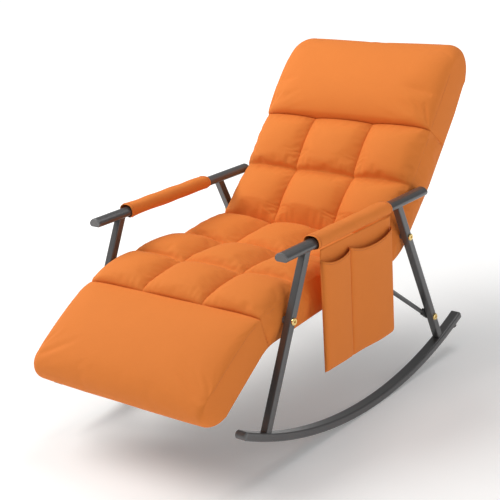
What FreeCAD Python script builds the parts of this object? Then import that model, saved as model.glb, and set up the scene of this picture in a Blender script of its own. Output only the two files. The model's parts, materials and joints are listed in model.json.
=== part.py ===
import FreeCAD, Part
import math
import os

Vector = FreeCAD.Vector

# The chair faces -Y and the sitter's left is +X. Z is up.
# The origin is on the floor, midway between the two runners where they rest.

# Stance of the two side frames
SIDE_SPACING = 580.0
RUNNER_RADIUS = 1140.0
RUNNER_FRONT_Y = -528.0
RUNNER_REAR_Y = 433.0
ARM_HEIGHT = 497.0
ARM_FRONT_Y = -347.5
ARM_LENGTH = 604.0
FRONT_LEG_TOP_Y = -259.5
FRONT_LEG_FOOT_Y = -448.5
REAR_LEG_TOP_Y = 137.5
REAR_LEG_FOOT_Y = 333.5

# Tubes of the side frames
ARM_WIDTH = 36.0
ARM_DEPTH = 22.0
ARM_CROWN = 5.0
ARM_WALL = 1.2
LEG_SIZE = 20.0
LEG_CORNER = 3.0
LEG_WALL = 1.8
RUNNER_WIDTH = 30.0
RUNNER_DEPTH = 20.0
RUNNER_CORNER = 5.0
RUNNER_WALL = 3.2
WELD_GAP = 0.2

# Plugs and rubber of the side frames
PLUG_PLATE = 3.0
PLUG_SPIGOT = 16.0
PLUG_BEVEL = 1.5
PLUG_CLEARANCE = 0.2
BUMPER_DIAMETER = 18.0
BUMPER_HEIGHT = 13.0
BUMPER_FROM_END = 24.0
BUMPER_STEM = 6.0

# Bent line through the cushions, from the foot to the head, seen from the side
CREASE_Y = 163.8
CREASE_Z = 369.8
LEG_RUN = 256.7
LEG_SLOPE = 34.0
SEAT_RUN = 565.4
SEAT_SLOPE = 4.2
LOWER_BACK_RUN = 203.6
LOWER_BACK_SLOPE = 44.0
MID_BACK_RUN = 214.8
MID_BACK_SLOPE = 49.5
HEAD_RUN = 178.0
HEAD_SLOPE = 55.0
KNEE_BEND = 140.0
CREASE_BEND = 110.0
BACK_BEND = 200.0

# Square tubes of the seat frame
RAIL_LEG_GAP = 30.0
RAIL_LIFT = 7.0
RAIL_SIZE = 20.0
RAIL_WALL = 1.2
RAIL_END_INSET = 54.0
RAIL_JOINT_PLACE = 520.0
RAIL_INSERT_LENGTH = 90.0
CROSS_TUBE_SIZE = 16.0
CROSS_TUBE_WALL = 1.2
FOOT_TUBE_PLACE = 76.0
KNEE_TUBE_TO_BOLT = 26.188
CREASE_TUBE_PLACE = 740.0
SHOULDER_TUBE_PLACE = 1090.0
HEAD_TUBE_PLACE = 1338.0

# Seat support bar, a U under the seat bolted to the rear legs
BAR_DIAMETER = 12.0
BAR_CORNER_BEND = 32.0
BAR_PLACE = 700.0
BAR_HEIGHT_AT_LEG = 137.0
BAR_SEAT_GAP = 0.3
TONGUE_LENGTH = 34.0
TONGUE_WIDTH = 18.0
TONGUE_THICKNESS = 5.0

# Fasteners
BOLT_DIAMETER = 8.0
BOLT_HOLE = 8.4
BOLT_HEAD_DIAMETER = 18.0
BOLT_HEAD_HEIGHT = 4.0
BOLT_SOCKET = 6.0
BOLT_SOCKET_DEPTH = 2.4
BUSH_DIAMETER = 16.0
NUT_ACROSS_FLATS = 13.0
NUT_HEIGHT = 6.5
BOLT_END = 3.0
SEAT_GAP = 0.2

# Support sling over the frame, with flaps down the side rails
SLING_THICKNESS = 1.6
SLING_CLEARANCE = 0.2
SLING_FLAP = 9.0
SLING_END_INSET = 56.0

# Quilted cushions, as heights off the bent line and places along it from the foot
CUSHION_LEG_GAP = 14.0
CUSHION_UNDER = 37.0
CUSHION_SEAM_GAP = 0.3
SIDE_WALL = 11.0
FOOT_WALL = 50.0
HEAD_WALL = 50.5
PAD_CLEARANCE = 0.3
TUFT_SPACING = 188.0
KNEE_SEAM = 262.0
THIGH_SEAM = 409.0
HIP_SEAM = 596.0
CREASE_SEAM = 785.0
LUMBAR_SEAM = 972.0
SHOULDER_SEAM = 1138.0
KNEE_TUFT = 44.0
THIGH_TUFT = 54.0
HIP_TUFT = 25.0
CREASE_TUFT = 20.0
LUMBAR_TUFT = 49.0
SHOULDER_TUFT = 68.0
KNEE_EDGE = 39.0
THIGH_EDGE = 50.0
HIP_EDGE = 31.0
CREASE_EDGE = 33.0
LUMBAR_EDGE = 41.0
SHOULDER_EDGE = 47.0
LEG_CROWN = 66.0
THIGH_CROWN = 76.0
SEAT_CROWN = 68.0
HIP_CROWN = 50.0
BACK_CROWN = 74.0
SHOULDER_CROWN = 86.0
HEAD_CROWN = 86.0
LEG_SIDE = 49.0
THIGH_SIDE = 50.0
SEAT_SIDE = 46.0
HIP_SIDE = 35.0
BACK_SIDE = 44.0
SHOULDER_SIDE = 49.0
HEADREST_SIDE = 54.0
SEAM_RISE = 6.0
CHANNEL_DEPTH = 14.0
FOOT_CORNER = 8.0
FOOT_ROLL = 38.0
FOOT_TOP = 54.0
FOOT_SIDE = 46.0
HEAD_CORNER = 42.0
HEAD_ROLL = 42.0
HEAD_TOP = 56.0
HEAD_SIDE = 46.0
UNDERSIDE_THICKNESS = 2.4

# Fabric sleeves that rest on the armrests and hang a little loose below
SLEEVE_FRONT_Y = -235.5
SLEEVE_LENGTH = 316.0
SLEEVE_TOP_PAD = 7.0
SLEEVE_SIDE_WALL = 4.0
SLEEVE_BOTTOM_WALL = 3.0
SLEEVE_SIDE_LOOSENESS = 2.0
SLEEVE_BOTTOM_LOOSENESS = 1.5
SLEEVE_SNUG_GAP = 0.3

# Double side pocket that hangs from the left sleeve
POCKET_FRONT_Y = -230.5
POCKET_LENGTH = 298.0
POCKET_BOTTOM = 180.0
POCKET_SEAM_FROM_FRONT = 113.0
POCKET_FROM_ARM = 19.0
POCKET_FABRIC = 2.0
POCKET_ROOM = 7.0
POCKET_JOIN_GAP = 0.3
POCKET_HANG_GAP = 0.4
POCKET_MOUTH = 457.0
NARROW_MOUTH_DIP = 13.0
WIDE_MOUTH_DIP = 19.0

SIDES = {"left": 1.0, "right": -1.0}
HALF_SPACING = SIDE_SPACING / 2
RAIL_HALF = RAIL_SIZE / 2
ARM_UNDERSIDE = ARM_HEIGHT - ARM_DEPTH / 2
LEG_INNER_X = HALF_SPACING - LEG_SIZE / 2
HALF_WIDTH = LEG_INNER_X - CUSHION_LEG_GAP
LEG_OUTER_X = HALF_SPACING + LEG_SIZE / 2


def box(low, high):
    """A block between two corners."""
    size = high - low
    return Part.makeBox(size.x, size.y, size.z, low)


def rod(start, end, diameter):
    """A round bar from one point to another."""
    axis = end - start
    return Part.makeCylinder(diameter / 2, axis.Length, start, axis)


def polygon_prism(points, direction):
    """A prism on a closed polygon."""
    wire = Part.makePolygon(points + [points[0]])
    return Part.Face(wire).extrude(direction)


def filleted_route(points, radii):
    """Straight runs between points, joined by tangent arcs of the given radii."""
    edges = []
    start = points[0]
    for before, corner, after, radius in zip(points, points[1:], points[2:], radii):
        back = (before - corner).normalize()
        ahead = (after - corner).normalize()
        half = back.getAngle(ahead) / 2
        leave = corner + back * (radius / math.tan(half))
        arrive = corner + ahead * (radius / math.tan(half))
        inward = (back + ahead).normalize()
        middle = corner + inward * (radius / math.sin(half) - radius)
        edges.append(Part.LineSegment(start, leave).toShape())
        edges.append(Part.Arc(leave, middle, arrive).toShape())
        start = arrive
    edges.append(Part.LineSegment(start, points[-1]).toShape())
    return edges


def swept(face, edge):
    """A flat face carried along one straight or round edge."""
    start = edge.valueAt(edge.FirstParameter)
    end = edge.valueAt(edge.LastParameter)
    if isinstance(edge.Curve, Part.Line):
        return face.extrude(end - start)
    turn = math.degrees(edge.LastParameter - edge.FirstParameter)
    return face.revolve(edge.Curve.Center, edge.Curve.Axis, turn)


def bar_along(edges, diameter):
    """A round bar bent along a route."""
    pieces = []
    for edge in edges:
        start = edge.valueAt(edge.FirstParameter)
        along = edge.tangentAt(edge.FirstParameter)
        face = Part.Face(Part.Wire(Part.makeCircle(diameter / 2, start, along)))
        pieces.append(swept(face, edge))
    return pieces[0].fuse(pieces[1:])


def rectangle(width, depth):
    """A rectangle centred in the XY plane."""
    x, y = width / 2, depth / 2
    return Part.makePolygon([
        Vector(-x, -y), Vector(x, -y), Vector(x, y), Vector(-x, y), Vector(-x, -y)])


def rounded_rectangle(width, depth, corner):
    """A rectangle with round corners, centred in the XY plane."""
    prism = Part.Face(rectangle(width, depth)).extrude(Vector(0, 0, 1))
    uprights = [e for e in prism.Edges if abs(e.tangentAt(e.FirstParameter).z) > 0.9]
    soft = prism.makeFillet(corner, uprights)
    ends = [f for f in soft.Faces if f.normalAt(0, 0).z < -0.9]
    return ends[0].OuterWire


def ring_face(outer, inner):
    """The face between two closed outlines."""
    return Part.Face(outer).cut(Part.Face(inner)).Faces[0]


def placed(shape, origin, x_axis, z_axis):
    """A copy of a shape drawn at the origin, moved to a frame of its own."""
    rotation = FreeCAD.Rotation(x_axis, z_axis.cross(x_axis), z_axis, "XZY")
    copy = shape.copy()
    copy.Placement = FreeCAD.Placement(origin, rotation)
    return copy


class SeatLine:
    """The bent line of the seat frame, with places measured along it from the foot."""

    def __init__(self):
        crease = Vector(0, CREASE_Y, CREASE_Z)
        knee = crease - self.run(SEAT_RUN, SEAT_SLOPE)
        foot = knee - self.run(LEG_RUN, LEG_SLOPE)
        lumbar = crease + self.run(LOWER_BACK_RUN, LOWER_BACK_SLOPE)
        shoulder = lumbar + self.run(MID_BACK_RUN, MID_BACK_SLOPE)
        head = shoulder + self.run(HEAD_RUN, HEAD_SLOPE)
        self.edges = filleted_route(
            [foot, knee, crease, lumbar, shoulder, head],
            [KNEE_BEND, CREASE_BEND, BACK_BEND, BACK_BEND])
        self.wire = Part.Wire(self.edges)
        self.marks = [0.0]
        for edge in self.edges:
            self.marks.append(self.marks[-1] + edge.Length)
        self.length = self.marks[-1]

    @staticmethod
    def run(length, slope):
        angle = math.radians(slope)
        return Vector(0, length * math.cos(angle), length * math.sin(angle))

    def frame(self, place):
        """The point on the line, the way to the head and the way up off the line."""
        place = min(max(place, 0.0), self.length)
        count = len(self.edges)
        index = max(i for i in range(count) if self.marks[i] <= place + 1e-9)
        edge = self.edges[index]
        at = edge.getParameterByLength(min(place - self.marks[index], edge.Length))
        along = edge.tangentAt(at)
        return edge.valueAt(at), along, Vector(0, -along.z, along.y)

    def at(self, place, height=0.0, x=0.0):
        point, _, up = self.frame(place)
        return point + up * height + Vector(x, 0, 0)

    def stretch(self, start, end, height, x=0.0):
        """Edges that follow the line at a height over it, from one place to another."""
        stops = [start] + [m for m in self.marks if start < m < end] + [end]
        edges = []
        for a, b in zip(stops, stops[1:]):
            p, q = self.at(a, height, x), self.at(b, height, x)
            middle = self.at((a + b) / 2, height, x)
            bow = (middle - (p + q) * 0.5).Length
            straight = bow < 1e-4
            curve = Part.LineSegment(p, q) if straight else Part.Arc(p, middle, q)
            edges.append(curve.toShape())
        return edges

    def band(self, start, end, low, high, half_width):
        """A slab that follows the line between two heights."""
        under = self.stretch(start, end, low, -half_width)
        over = self.stretch(start, end, high, -half_width)
        head = Part.LineSegment(
            self.at(end, low, -half_width), self.at(end, high, -half_width)).toShape()
        foot = Part.LineSegment(
            self.at(start, high, -half_width), self.at(start, low, -half_width)).toShape()
        wire = Part.Wire(Part.__sortEdges__(under + [head] + over + [foot]))
        return Part.Face(wire).extrude(Vector(2 * half_width, 0, 0))


SEAT = SeatLine()
TOP_OF_RUNNER = RUNNER_RADIUS - RUNNER_DEPTH
RUNNER_MIDLINE = RUNNER_RADIUS - RUNNER_DEPTH / 2
ROCK_CENTRE = Vector(0, 0, RUNNER_RADIUS)


def runner_angle(y):
    """The angle round the rocking centre at which the runner's lower face is at y."""
    return math.asin(y / RUNNER_RADIUS)


def runner_frame(angle, radius, x=0.0):
    """A point on the runner's arc, the way to its rear and the way in to the centre."""
    along = Vector(0, math.cos(angle), math.sin(angle))
    inward = Vector(0, -math.sin(angle), math.cos(angle))
    return ROCK_CENTRE - inward * radius + Vector(x, 0, 0), along, inward


def leg_ends(top_y, foot_y):
    """The ends of a leg's centre line, under the armrest and on the runner."""
    angle = runner_angle(foot_y)
    foot, _, _ = runner_frame(angle, TOP_OF_RUNNER)
    return Vector(0, top_y, ARM_UNDERSIDE), foot


def leg_crossing(top_y, foot_y):
    """Where a leg's centre line meets the side rails."""
    top, foot = leg_ends(top_y, foot_y)
    centre_line = Part.LineSegment(top, foot).toShape()
    rails = Part.Wire(SEAT.stretch(0, SEAT.length, RAIL_LIFT))
    return centre_line.distToShape(rails)[1][0][1]


def place_of(point):
    """The place along the bent line that a point stands square off."""
    low, high = 0.0, SEAT.length
    for _ in range(60):
        middle = (low + high) / 2
        on_line, along, _ = SEAT.frame(middle)
        if (point - on_line).dot(along) > 0:
            low = middle
        else:
            high = middle
    return (low + high) / 2


FRONT_BOLT = leg_crossing(FRONT_LEG_TOP_Y, FRONT_LEG_FOOT_Y)
REAR_BOLT = leg_crossing(REAR_LEG_TOP_Y, REAR_LEG_FOOT_Y)
KNEE_TUBE_PLACE = place_of(FRONT_BOLT) - KNEE_TUBE_TO_BOLT


def support_bolt():
    """Where the support bar is bolted to a rear leg's centre line."""
    top, foot = leg_ends(REAR_LEG_TOP_Y, REAR_LEG_FOOT_Y)
    share = (BAR_HEIGHT_AT_LEG - foot.z) / (top.z - foot.z)
    return foot + (top - foot) * share


SUPPORT_BOLT = support_bolt()
RAIL_X = LEG_INNER_X - RAIL_LEG_GAP - RAIL_HALF
BAR_X = LEG_INNER_X - WELD_GAP - BAR_DIAMETER / 2


def armrest_section(side_grow, top_grow, bottom_grow):
    """Flat oval with a crowned top and a flat bottom, in the XZ plane at y = 0."""
    side = ARM_WIDTH / 2 + side_grow
    bottom = -ARM_DEPTH / 2 - bottom_grow
    top = ARM_DEPTH / 2 + top_grow
    shoulder = top - ARM_CROWN
    flat = side - ARM_DEPTH * 0.4
    rim = side - ARM_DEPTH * 0.2
    waist = (bottom + shoulder) / 2
    base = Part.LineSegment(Vector(-flat, 0, bottom), Vector(flat, 0, bottom))
    right = Part.Arc(Vector(flat, 0, bottom), Vector(side, 0, waist), Vector(rim, 0, shoulder))
    crown = Part.Arc(Vector(rim, 0, shoulder), Vector(0, 0, top), Vector(-rim, 0, shoulder))
    left = Part.Arc(Vector(-rim, 0, shoulder), Vector(-side, 0, waist), Vector(-flat, 0, bottom))
    return Part.Wire([base.toShape(), right.toShape(), crown.toShape(), left.toShape()])


def armrest_prism(grow, front_y, length):
    section = armrest_section(grow, grow, grow)
    section.translate(Vector(0, front_y, ARM_HEIGHT))
    return Part.Face(section).extrude(Vector(0, length, 0))


def armrest_tube():
    outer = armrest_prism(0, ARM_FRONT_Y, ARM_LENGTH)
    return outer.cut(armrest_prism(-ARM_WALL, ARM_FRONT_Y - 1, ARM_LENGTH + 2))


def armrest_plug(end_y, inward):
    """A bevelled cap over a tube end with a spigot inside it."""
    sections = []
    for grow, out in ((0, 0), (-PLUG_BEVEL, PLUG_PLATE)):
        section = armrest_section(grow, grow, grow)
        section.translate(Vector(0, end_y - inward * out, ARM_HEIGHT))
        sections.append(section)
    spigot_y = end_y if inward > 0 else end_y - PLUG_SPIGOT
    spigot = armrest_prism(-ARM_WALL - PLUG_CLEARANCE, spigot_y, PLUG_SPIGOT)
    return Part.makeLoft(sections, True, True).fuse(spigot)


def armrest_plugs():
    return Part.makeCompound([
        armrest_plug(ARM_FRONT_Y, 1), armrest_plug(ARM_FRONT_Y + ARM_LENGTH, -1)])


def leg(top_y, foot_y):
    """A square tube from the armrest's underside down to the runner's top face."""
    top, foot = leg_ends(top_y, foot_y)
    axis = (top - foot).normalize()
    spare = LEG_SIZE
    start = foot - axis * spare
    reach = (top - foot).Length + 2 * spare
    outer = rounded_rectangle(LEG_SIZE, LEG_SIZE, LEG_CORNER)
    inner = rectangle(LEG_SIZE - 2 * LEG_WALL, LEG_SIZE - 2 * LEG_WALL)
    blank = ring_face(outer, inner).extrude(Vector(0, 0, reach))
    blank = placed(blank, start, Vector(1, 0, 0), axis)
    wide = 4 * LEG_SIZE
    above = box(
        Vector(-wide, top_y - wide, ARM_UNDERSIDE - WELD_GAP),
        Vector(wide, top_y + wide, ARM_UNDERSIDE + wide))
    room = Part.makeCylinder(
        TOP_OF_RUNNER - WELD_GAP, 2 * wide, ROCK_CENTRE - Vector(wide, 0, 0), Vector(1, 0, 0))
    return blank.cut(above).common(room)


def drilled(shape, centre, diameter, half_reach):
    """A shape with a cross hole through it along X."""
    reach = Vector(half_reach, 0, 0)
    return shape.cut(rod(centre - reach, centre + reach, diameter))


def front_leg():
    return drilled(leg(FRONT_LEG_TOP_Y, FRONT_LEG_FOOT_Y), FRONT_BOLT, BOLT_HOLE, LEG_SIZE)


def rear_leg():
    blank = leg(REAR_LEG_TOP_Y, REAR_LEG_FOOT_Y)
    blank = drilled(blank, REAR_BOLT, BOLT_HOLE, LEG_SIZE)
    return drilled(blank, SUPPORT_BOLT, BOLT_HOLE, LEG_SIZE)


def runner_section(angle):
    """The runner's outline across its arc at an angle."""
    centre, along, _ = runner_frame(angle, RUNNER_MIDLINE)
    outline = rounded_rectangle(RUNNER_WIDTH, RUNNER_DEPTH, RUNNER_CORNER)
    return placed(outline, centre, Vector(1, 0, 0), along)


def runner_bore(angle, clearance=0.0):
    """The outline of the hollow inside the runner at an angle."""
    centre, along, _ = runner_frame(angle, RUNNER_MIDLINE)
    inset = 2 * (RUNNER_WALL + clearance)
    outline = rectangle(RUNNER_WIDTH - inset, RUNNER_DEPTH - inset)
    return placed(outline, centre, Vector(1, 0, 0), along)


def runner_tube():
    start, end = runner_angle(RUNNER_FRONT_Y), runner_angle(RUNNER_REAR_Y)
    sweep = math.degrees(end - start)
    face = ring_face(runner_section(start), runner_bore(start))
    tube = face.revolve(ROCK_CENTRE, Vector(1, 0, 0), sweep)
    centre, _, inward = bumper_frame()
    stem = rod(centre - inward * RUNNER_DEPTH, centre + inward * RUNNER_DEPTH / 2,
               BUMPER_STEM + 2 * PLUG_CLEARANCE)
    return tube.cut(stem)


def runner_spigot(angle, way):
    """A straight boss that fits inside the end of a runner."""
    section = runner_bore(angle, 2 * PLUG_CLEARANCE)
    _, along, _ = runner_frame(angle, RUNNER_MIDLINE)
    return Part.Face(section).extrude(along * (way * PLUG_SPIGOT))


def runner_nose_cap():
    """The rounded cap on a runner's front end."""
    angle = runner_angle(RUNNER_FRONT_Y)
    centre, along, inward = runner_frame(angle, RUNNER_MIDLINE)
    half = Vector(RUNNER_WIDTH / 2, 0, 0)
    drum = rod(centre - half, centre + half, RUNNER_DEPTH)
    rims = [e for e in drum.Edges if isinstance(e.Curve, Part.Circle)]
    drum = drum.makeChamfer(RUNNER_CORNER * 0.5, rims)
    behind = box(
        Vector(-RUNNER_WIDTH, 0, -RUNNER_DEPTH),
        Vector(RUNNER_WIDTH, RUNNER_WIDTH, RUNNER_DEPTH))
    behind = placed(behind, centre, Vector(1, 0, 0), inward)
    return drum.cut(behind).fuse(runner_spigot(angle, 1))


def runner_tail_cap():
    """The flat cap on a runner's rear end."""
    angle = runner_angle(RUNNER_REAR_Y)
    _, along, _ = runner_frame(angle, RUNNER_MIDLINE)
    plate = Part.Face(runner_section(angle)).extrude(along * PLUG_PLATE)
    return plate.fuse(runner_spigot(angle, -1))


def bumper_frame():
    angle = runner_angle(RUNNER_REAR_Y) - BUMPER_FROM_END / RUNNER_RADIUS
    return runner_frame(angle, RUNNER_RADIUS)


def rear_bumper():
    """A rubber puck under the runner's tail, held by its own stem."""
    centre, _, inward = bumper_frame()
    top = centre - inward * WELD_GAP
    puck = rod(top - inward * BUMPER_HEIGHT, top, BUMPER_DIAMETER)
    low_rim = [
        e for e in puck.Edges
        if isinstance(e.Curve, Part.Circle) and (e.CenterOfMass - top).Length > 1]
    puck = puck.makeChamfer(BUMPER_HEIGHT * 0.2, low_rim)
    stem = rod(top - inward, top + inward * (RUNNER_WALL + 2), BUMPER_STEM)
    return puck.fuse(stem)


def rail(start, end, x):
    """One bent side tube of the seat frame between two places on the line."""
    half = RAIL_SIZE / 2
    bore = half - RAIL_WALL
    tube = SEAT.band(start, end, RAIL_LIFT - half, RAIL_LIFT + half, half)
    tube = tube.cut(SEAT.band(start, end, RAIL_LIFT - bore, RAIL_LIFT + bore, bore))
    tube.translate(Vector(x, 0, 0))
    for bolt in (FRONT_BOLT, REAR_BOLT):
        tube = drilled(tube, Vector(x, bolt.y, bolt.z), BOLT_HOLE, RAIL_SIZE)
    return tube


def seat_rail(side):
    return rail(RAIL_END_INSET, RAIL_JOINT_PLACE, side * RAIL_X)


def back_rail(side):
    return rail(RAIL_JOINT_PLACE + WELD_GAP, SEAT.length - RAIL_END_INSET, side * RAIL_X)


RAIL_BORE_FIT = RAIL_HALF - RAIL_WALL - PLUG_CLEARANCE


def rail_insert(side):
    """The sleeve inside the two halves of a side rail where they meet."""
    start = RAIL_JOINT_PLACE - RAIL_INSERT_LENGTH / 2
    end = start + RAIL_INSERT_LENGTH
    fit = RAIL_BORE_FIT
    bore = fit - RAIL_WALL
    sleeve = SEAT.band(start, end, RAIL_LIFT - fit, RAIL_LIFT + fit, fit)
    sleeve = sleeve.cut(SEAT.band(start, end, RAIL_LIFT - bore, RAIL_LIFT + bore, bore))
    sleeve.translate(Vector(side * RAIL_X, 0, 0))
    return sleeve


def cross_tube(place):
    """A straight tube welded between the side rails."""
    reach = RAIL_X - RAIL_HALF - WELD_GAP
    _, along, _ = SEAT.frame(place)
    outer = rectangle(CROSS_TUBE_SIZE, CROSS_TUBE_SIZE)
    bore = CROSS_TUBE_SIZE - 2 * CROSS_TUBE_WALL
    tube = ring_face(outer, rectangle(bore, bore)).extrude(Vector(0, 0, 2 * reach))
    return placed(tube, SEAT.at(place, RAIL_LIFT, -reach), along, Vector(1, 0, 0))


def rail_end_plugs():
    """Plastic plugs in the four open ends of the side rails."""
    plugs = []
    fit = RAIL_BORE_FIT
    ends = (
        (RAIL_END_INSET, RAIL_END_INSET - PLUG_PLATE, RAIL_END_INSET + PLUG_SPIGOT),
        (SEAT.length - RAIL_END_INSET, SEAT.length - RAIL_END_INSET + PLUG_PLATE,
         SEAT.length - RAIL_END_INSET - PLUG_SPIGOT))
    for side in SIDES.values():
        for seat, outer, inner in ends:
            plate = SEAT.band(
                min(seat, outer), max(seat, outer), RAIL_LIFT - RAIL_HALF,
                RAIL_LIFT + RAIL_HALF, RAIL_HALF)
            spigot = SEAT.band(
                min(seat, inner), max(seat, inner), RAIL_LIFT - fit, RAIL_LIFT + fit, fit)
            plug = plate.fuse(spigot)
            plug.translate(Vector(side * RAIL_X, 0, 0))
            plugs.append(plug)
    return Part.makeCompound(plugs)


def support_bar():
    """A U of round bar whose flattened ends are bolted inside the rear legs."""
    drop = CUSHION_UNDER + BAR_SEAT_GAP + BAR_DIAMETER / 2
    crossing = SEAT.at(BAR_PLACE, -drop)
    rise = (crossing - SUPPORT_BOLT).normalize()
    across = Vector(1, 0, 0).cross(rise).normalize() * (TONGUE_WIDTH / 2)
    reach = rise * TONGUE_LENGTH
    half = Vector(TONGUE_THICKNESS / 2, 0, 0)
    inset = Vector(BAR_X, 0, 0)
    neck = SUPPORT_BOLT + reach - rise * (BAR_DIAMETER / 2)
    route = [neck + inset, crossing + inset, crossing - inset, neck - inset]
    bar = bar_along(filleted_route(route, [BAR_CORNER_BEND] * 2), BAR_DIAMETER)
    for side in SIDES.values():
        tongue_x = side * (LEG_INNER_X - WELD_GAP - TONGUE_THICKNESS / 2)
        centre = SUPPORT_BOLT + Vector(tongue_x, 0, 0)
        eye = rod(centre - half, centre + half, TONGUE_WIDTH)
        corner = centre - half - across
        plate = polygon_prism(
            [corner, corner + across * 2, corner + across * 2 + reach, corner + reach],
            half * 2)
        bar = bar.fuse([eye, plate])
        bar = drilled(bar, centre, BOLT_HOLE, LEG_SIZE)
    return bar


def socket_bolt(place, side, tip_x):
    """A flat-headed furniture bolt from a leg's outer face to its nut."""
    seat_x = LEG_OUTER_X + SEAT_GAP
    outer = place + Vector(side * (seat_x + BOLT_HEAD_HEIGHT), 0, 0)
    seat = place + Vector(side * seat_x, 0, 0)
    tip = place + Vector(side * tip_x, 0, 0)
    head = rod(seat, outer, BOLT_HEAD_DIAMETER)
    rim = [
        e for e in head.Edges
        if isinstance(e.Curve, Part.Circle) and abs(e.CenterOfMass.x - outer.x) < 0.01]
    head = head.makeChamfer(BOLT_HEAD_HEIGHT * 0.4, rim)
    socket = hexagon(outer, -side * BOLT_SOCKET_DEPTH, BOLT_SOCKET)
    return head.fuse(rod(seat, tip, BOLT_DIAMETER)).cut(socket)


def hexagon(centre, length, across_flats):
    """A hexagonal prism along X."""
    radius = across_flats / math.sqrt(3)
    points = []
    for step in range(6):
        turn = math.radians(60 * step)
        points.append(centre + Vector(0, radius * math.cos(turn), radius * math.sin(turn)))
    return polygon_prism(points, Vector(length, 0, 0))


RAIL_NUT_X = RAIL_X - RAIL_HALF - SEAT_GAP
BAR_NUT_X = LEG_INNER_X - WELD_GAP - TONGUE_THICKNESS - SEAT_GAP


def nut(place, side, face_x):
    """A lock nut round a bolt, with its outer face at a distance from the middle."""
    centre = place + Vector(side * face_x, 0, 0)
    body = hexagon(centre, -side * NUT_HEIGHT, NUT_ACROSS_FLATS)
    return drilled(body, centre, BOLT_HOLE, NUT_HEIGHT * 2)


def seat_bolts():
    tip_x = RAIL_NUT_X - NUT_HEIGHT - BOLT_END
    return Part.makeCompound([
        socket_bolt(place, side, tip_x)
        for side in SIDES.values() for place in (FRONT_BOLT, REAR_BOLT)])


def bar_bolts():
    tip_x = BAR_NUT_X - NUT_HEIGHT - BOLT_END
    return Part.makeCompound([
        socket_bolt(SUPPORT_BOLT, side, tip_x) for side in SIDES.values()])


def lock_nuts():
    nuts = []
    for side in SIDES.values():
        nuts.append(nut(FRONT_BOLT, side, RAIL_NUT_X))
        nuts.append(nut(REAR_BOLT, side, RAIL_NUT_X))
        nuts.append(nut(SUPPORT_BOLT, side, BAR_NUT_X))
    return Part.makeCompound(nuts)


def spacer_bushes():
    """Tubes round the seat bolts that hold the rails off the legs."""
    bushes = []
    for side in SIDES.values():
        for place in (FRONT_BOLT, REAR_BOLT):
            inner = place + Vector(side * (RAIL_X + RAIL_HALF + SEAT_GAP), 0, 0)
            outer = place + Vector(side * (LEG_INNER_X - SEAT_GAP), 0, 0)
            body = rod(inner, outer, BUSH_DIAMETER)
            bushes.append(drilled(body, (inner + outer) * 0.5, BOLT_HOLE, LEG_SIZE))
    return Part.makeCompound(bushes)


SLING_UNDER = RAIL_HALF + SLING_CLEARANCE
SLING_TOP = SLING_UNDER + SLING_THICKNESS


def support_sling():
    """A sheet over the frame whose side flaps hang down outside the rails."""
    start, end = SLING_END_INSET, SEAT.length - SLING_END_INSET
    flap = RAIL_LIFT - SLING_FLAP
    sheet = SEAT.band(start, end, flap, RAIL_LIFT + SLING_TOP, RAIL_X + SLING_TOP)
    under = SEAT.band(
        start - 1, end + 1, flap - 1, RAIL_LIFT + SLING_UNDER, RAIL_X + SLING_UNDER)
    sheet = sheet.cut(under)
    for bolt in (FRONT_BOLT, REAR_BOLT):
        sheet = drilled(sheet, bolt, BUSH_DIAMETER + 1, HALF_SPACING)
    return sheet


def stations(quilted):
    """Distances from the middle at which the cushions are sliced, from side to side."""
    tuft = TUFT_SPACING / 2
    outer = (HALF_WIDTH - tuft) / 2
    blocks = [0.0, tuft / 2, tuft, tuft + outer / 2, tuft + outer]
    middle = blocks if quilted else [0.0, tuft, tuft + outer]
    half = middle + [HALF_WIDTH - 45, HALF_WIDTH - 22, HALF_WIDTH - 8, HALF_WIDTH]
    return [-x for x in reversed(half[1:])] + half


def bulge(x):
    """One at the middle of a block of the quilting, nothing at its lengthwise seams."""
    tuft = TUFT_SPACING / 2
    distance = abs(x)
    if distance < tuft:
        return 1 - (distance / tuft) ** 2
    return min(1 - (1 - (distance - tuft) * 2 / (HALF_WIDTH - tuft)) ** 2, 1)


def edge_fall(x):
    """One over most of the width, falling to nothing at the cushion's side."""
    start = (HALF_WIDTH + TUFT_SPACING / 2) / 2
    share = max(abs(x) - start, 0) / (HALF_WIDTH - start)
    return math.sqrt(1 - min(share, 1) ** 2)


def seam_height(tuft, edge, x):
    """The height of a cross seam at a distance from the middle."""
    inner = tuft + SEAM_RISE * bulge(x)
    return edge + (inner - edge) * edge_fall(x)


def crown_height(crown, edge, channel, x):
    """The height of a row halfway between its seams, less at the lengthwise seams."""
    beyond = abs(x) > (HALF_WIDTH + TUFT_SPACING / 2) / 2
    inner = crown if beyond else crown - channel * (1 - bulge(x))
    return edge + (inner - edge) * edge_fall(x)


def corner_setback(corner, x):
    """How far a corner rounded in plan has drawn back at a distance from the middle."""
    reach = abs(x) - (HALF_WIDTH - corner * 1.2)
    share = min(max(reach, 0) / (corner * 1.2), 1)
    return corner * (1 - math.sqrt(1 - share ** 2))


def arc_through(x, first, middle, last):
    """An arc through three places given as (place, height) off the bent line."""
    return Part.Arc(SEAT.at(*first, x), SEAT.at(*middle, x), SEAT.at(*last, x)).toShape()


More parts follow.
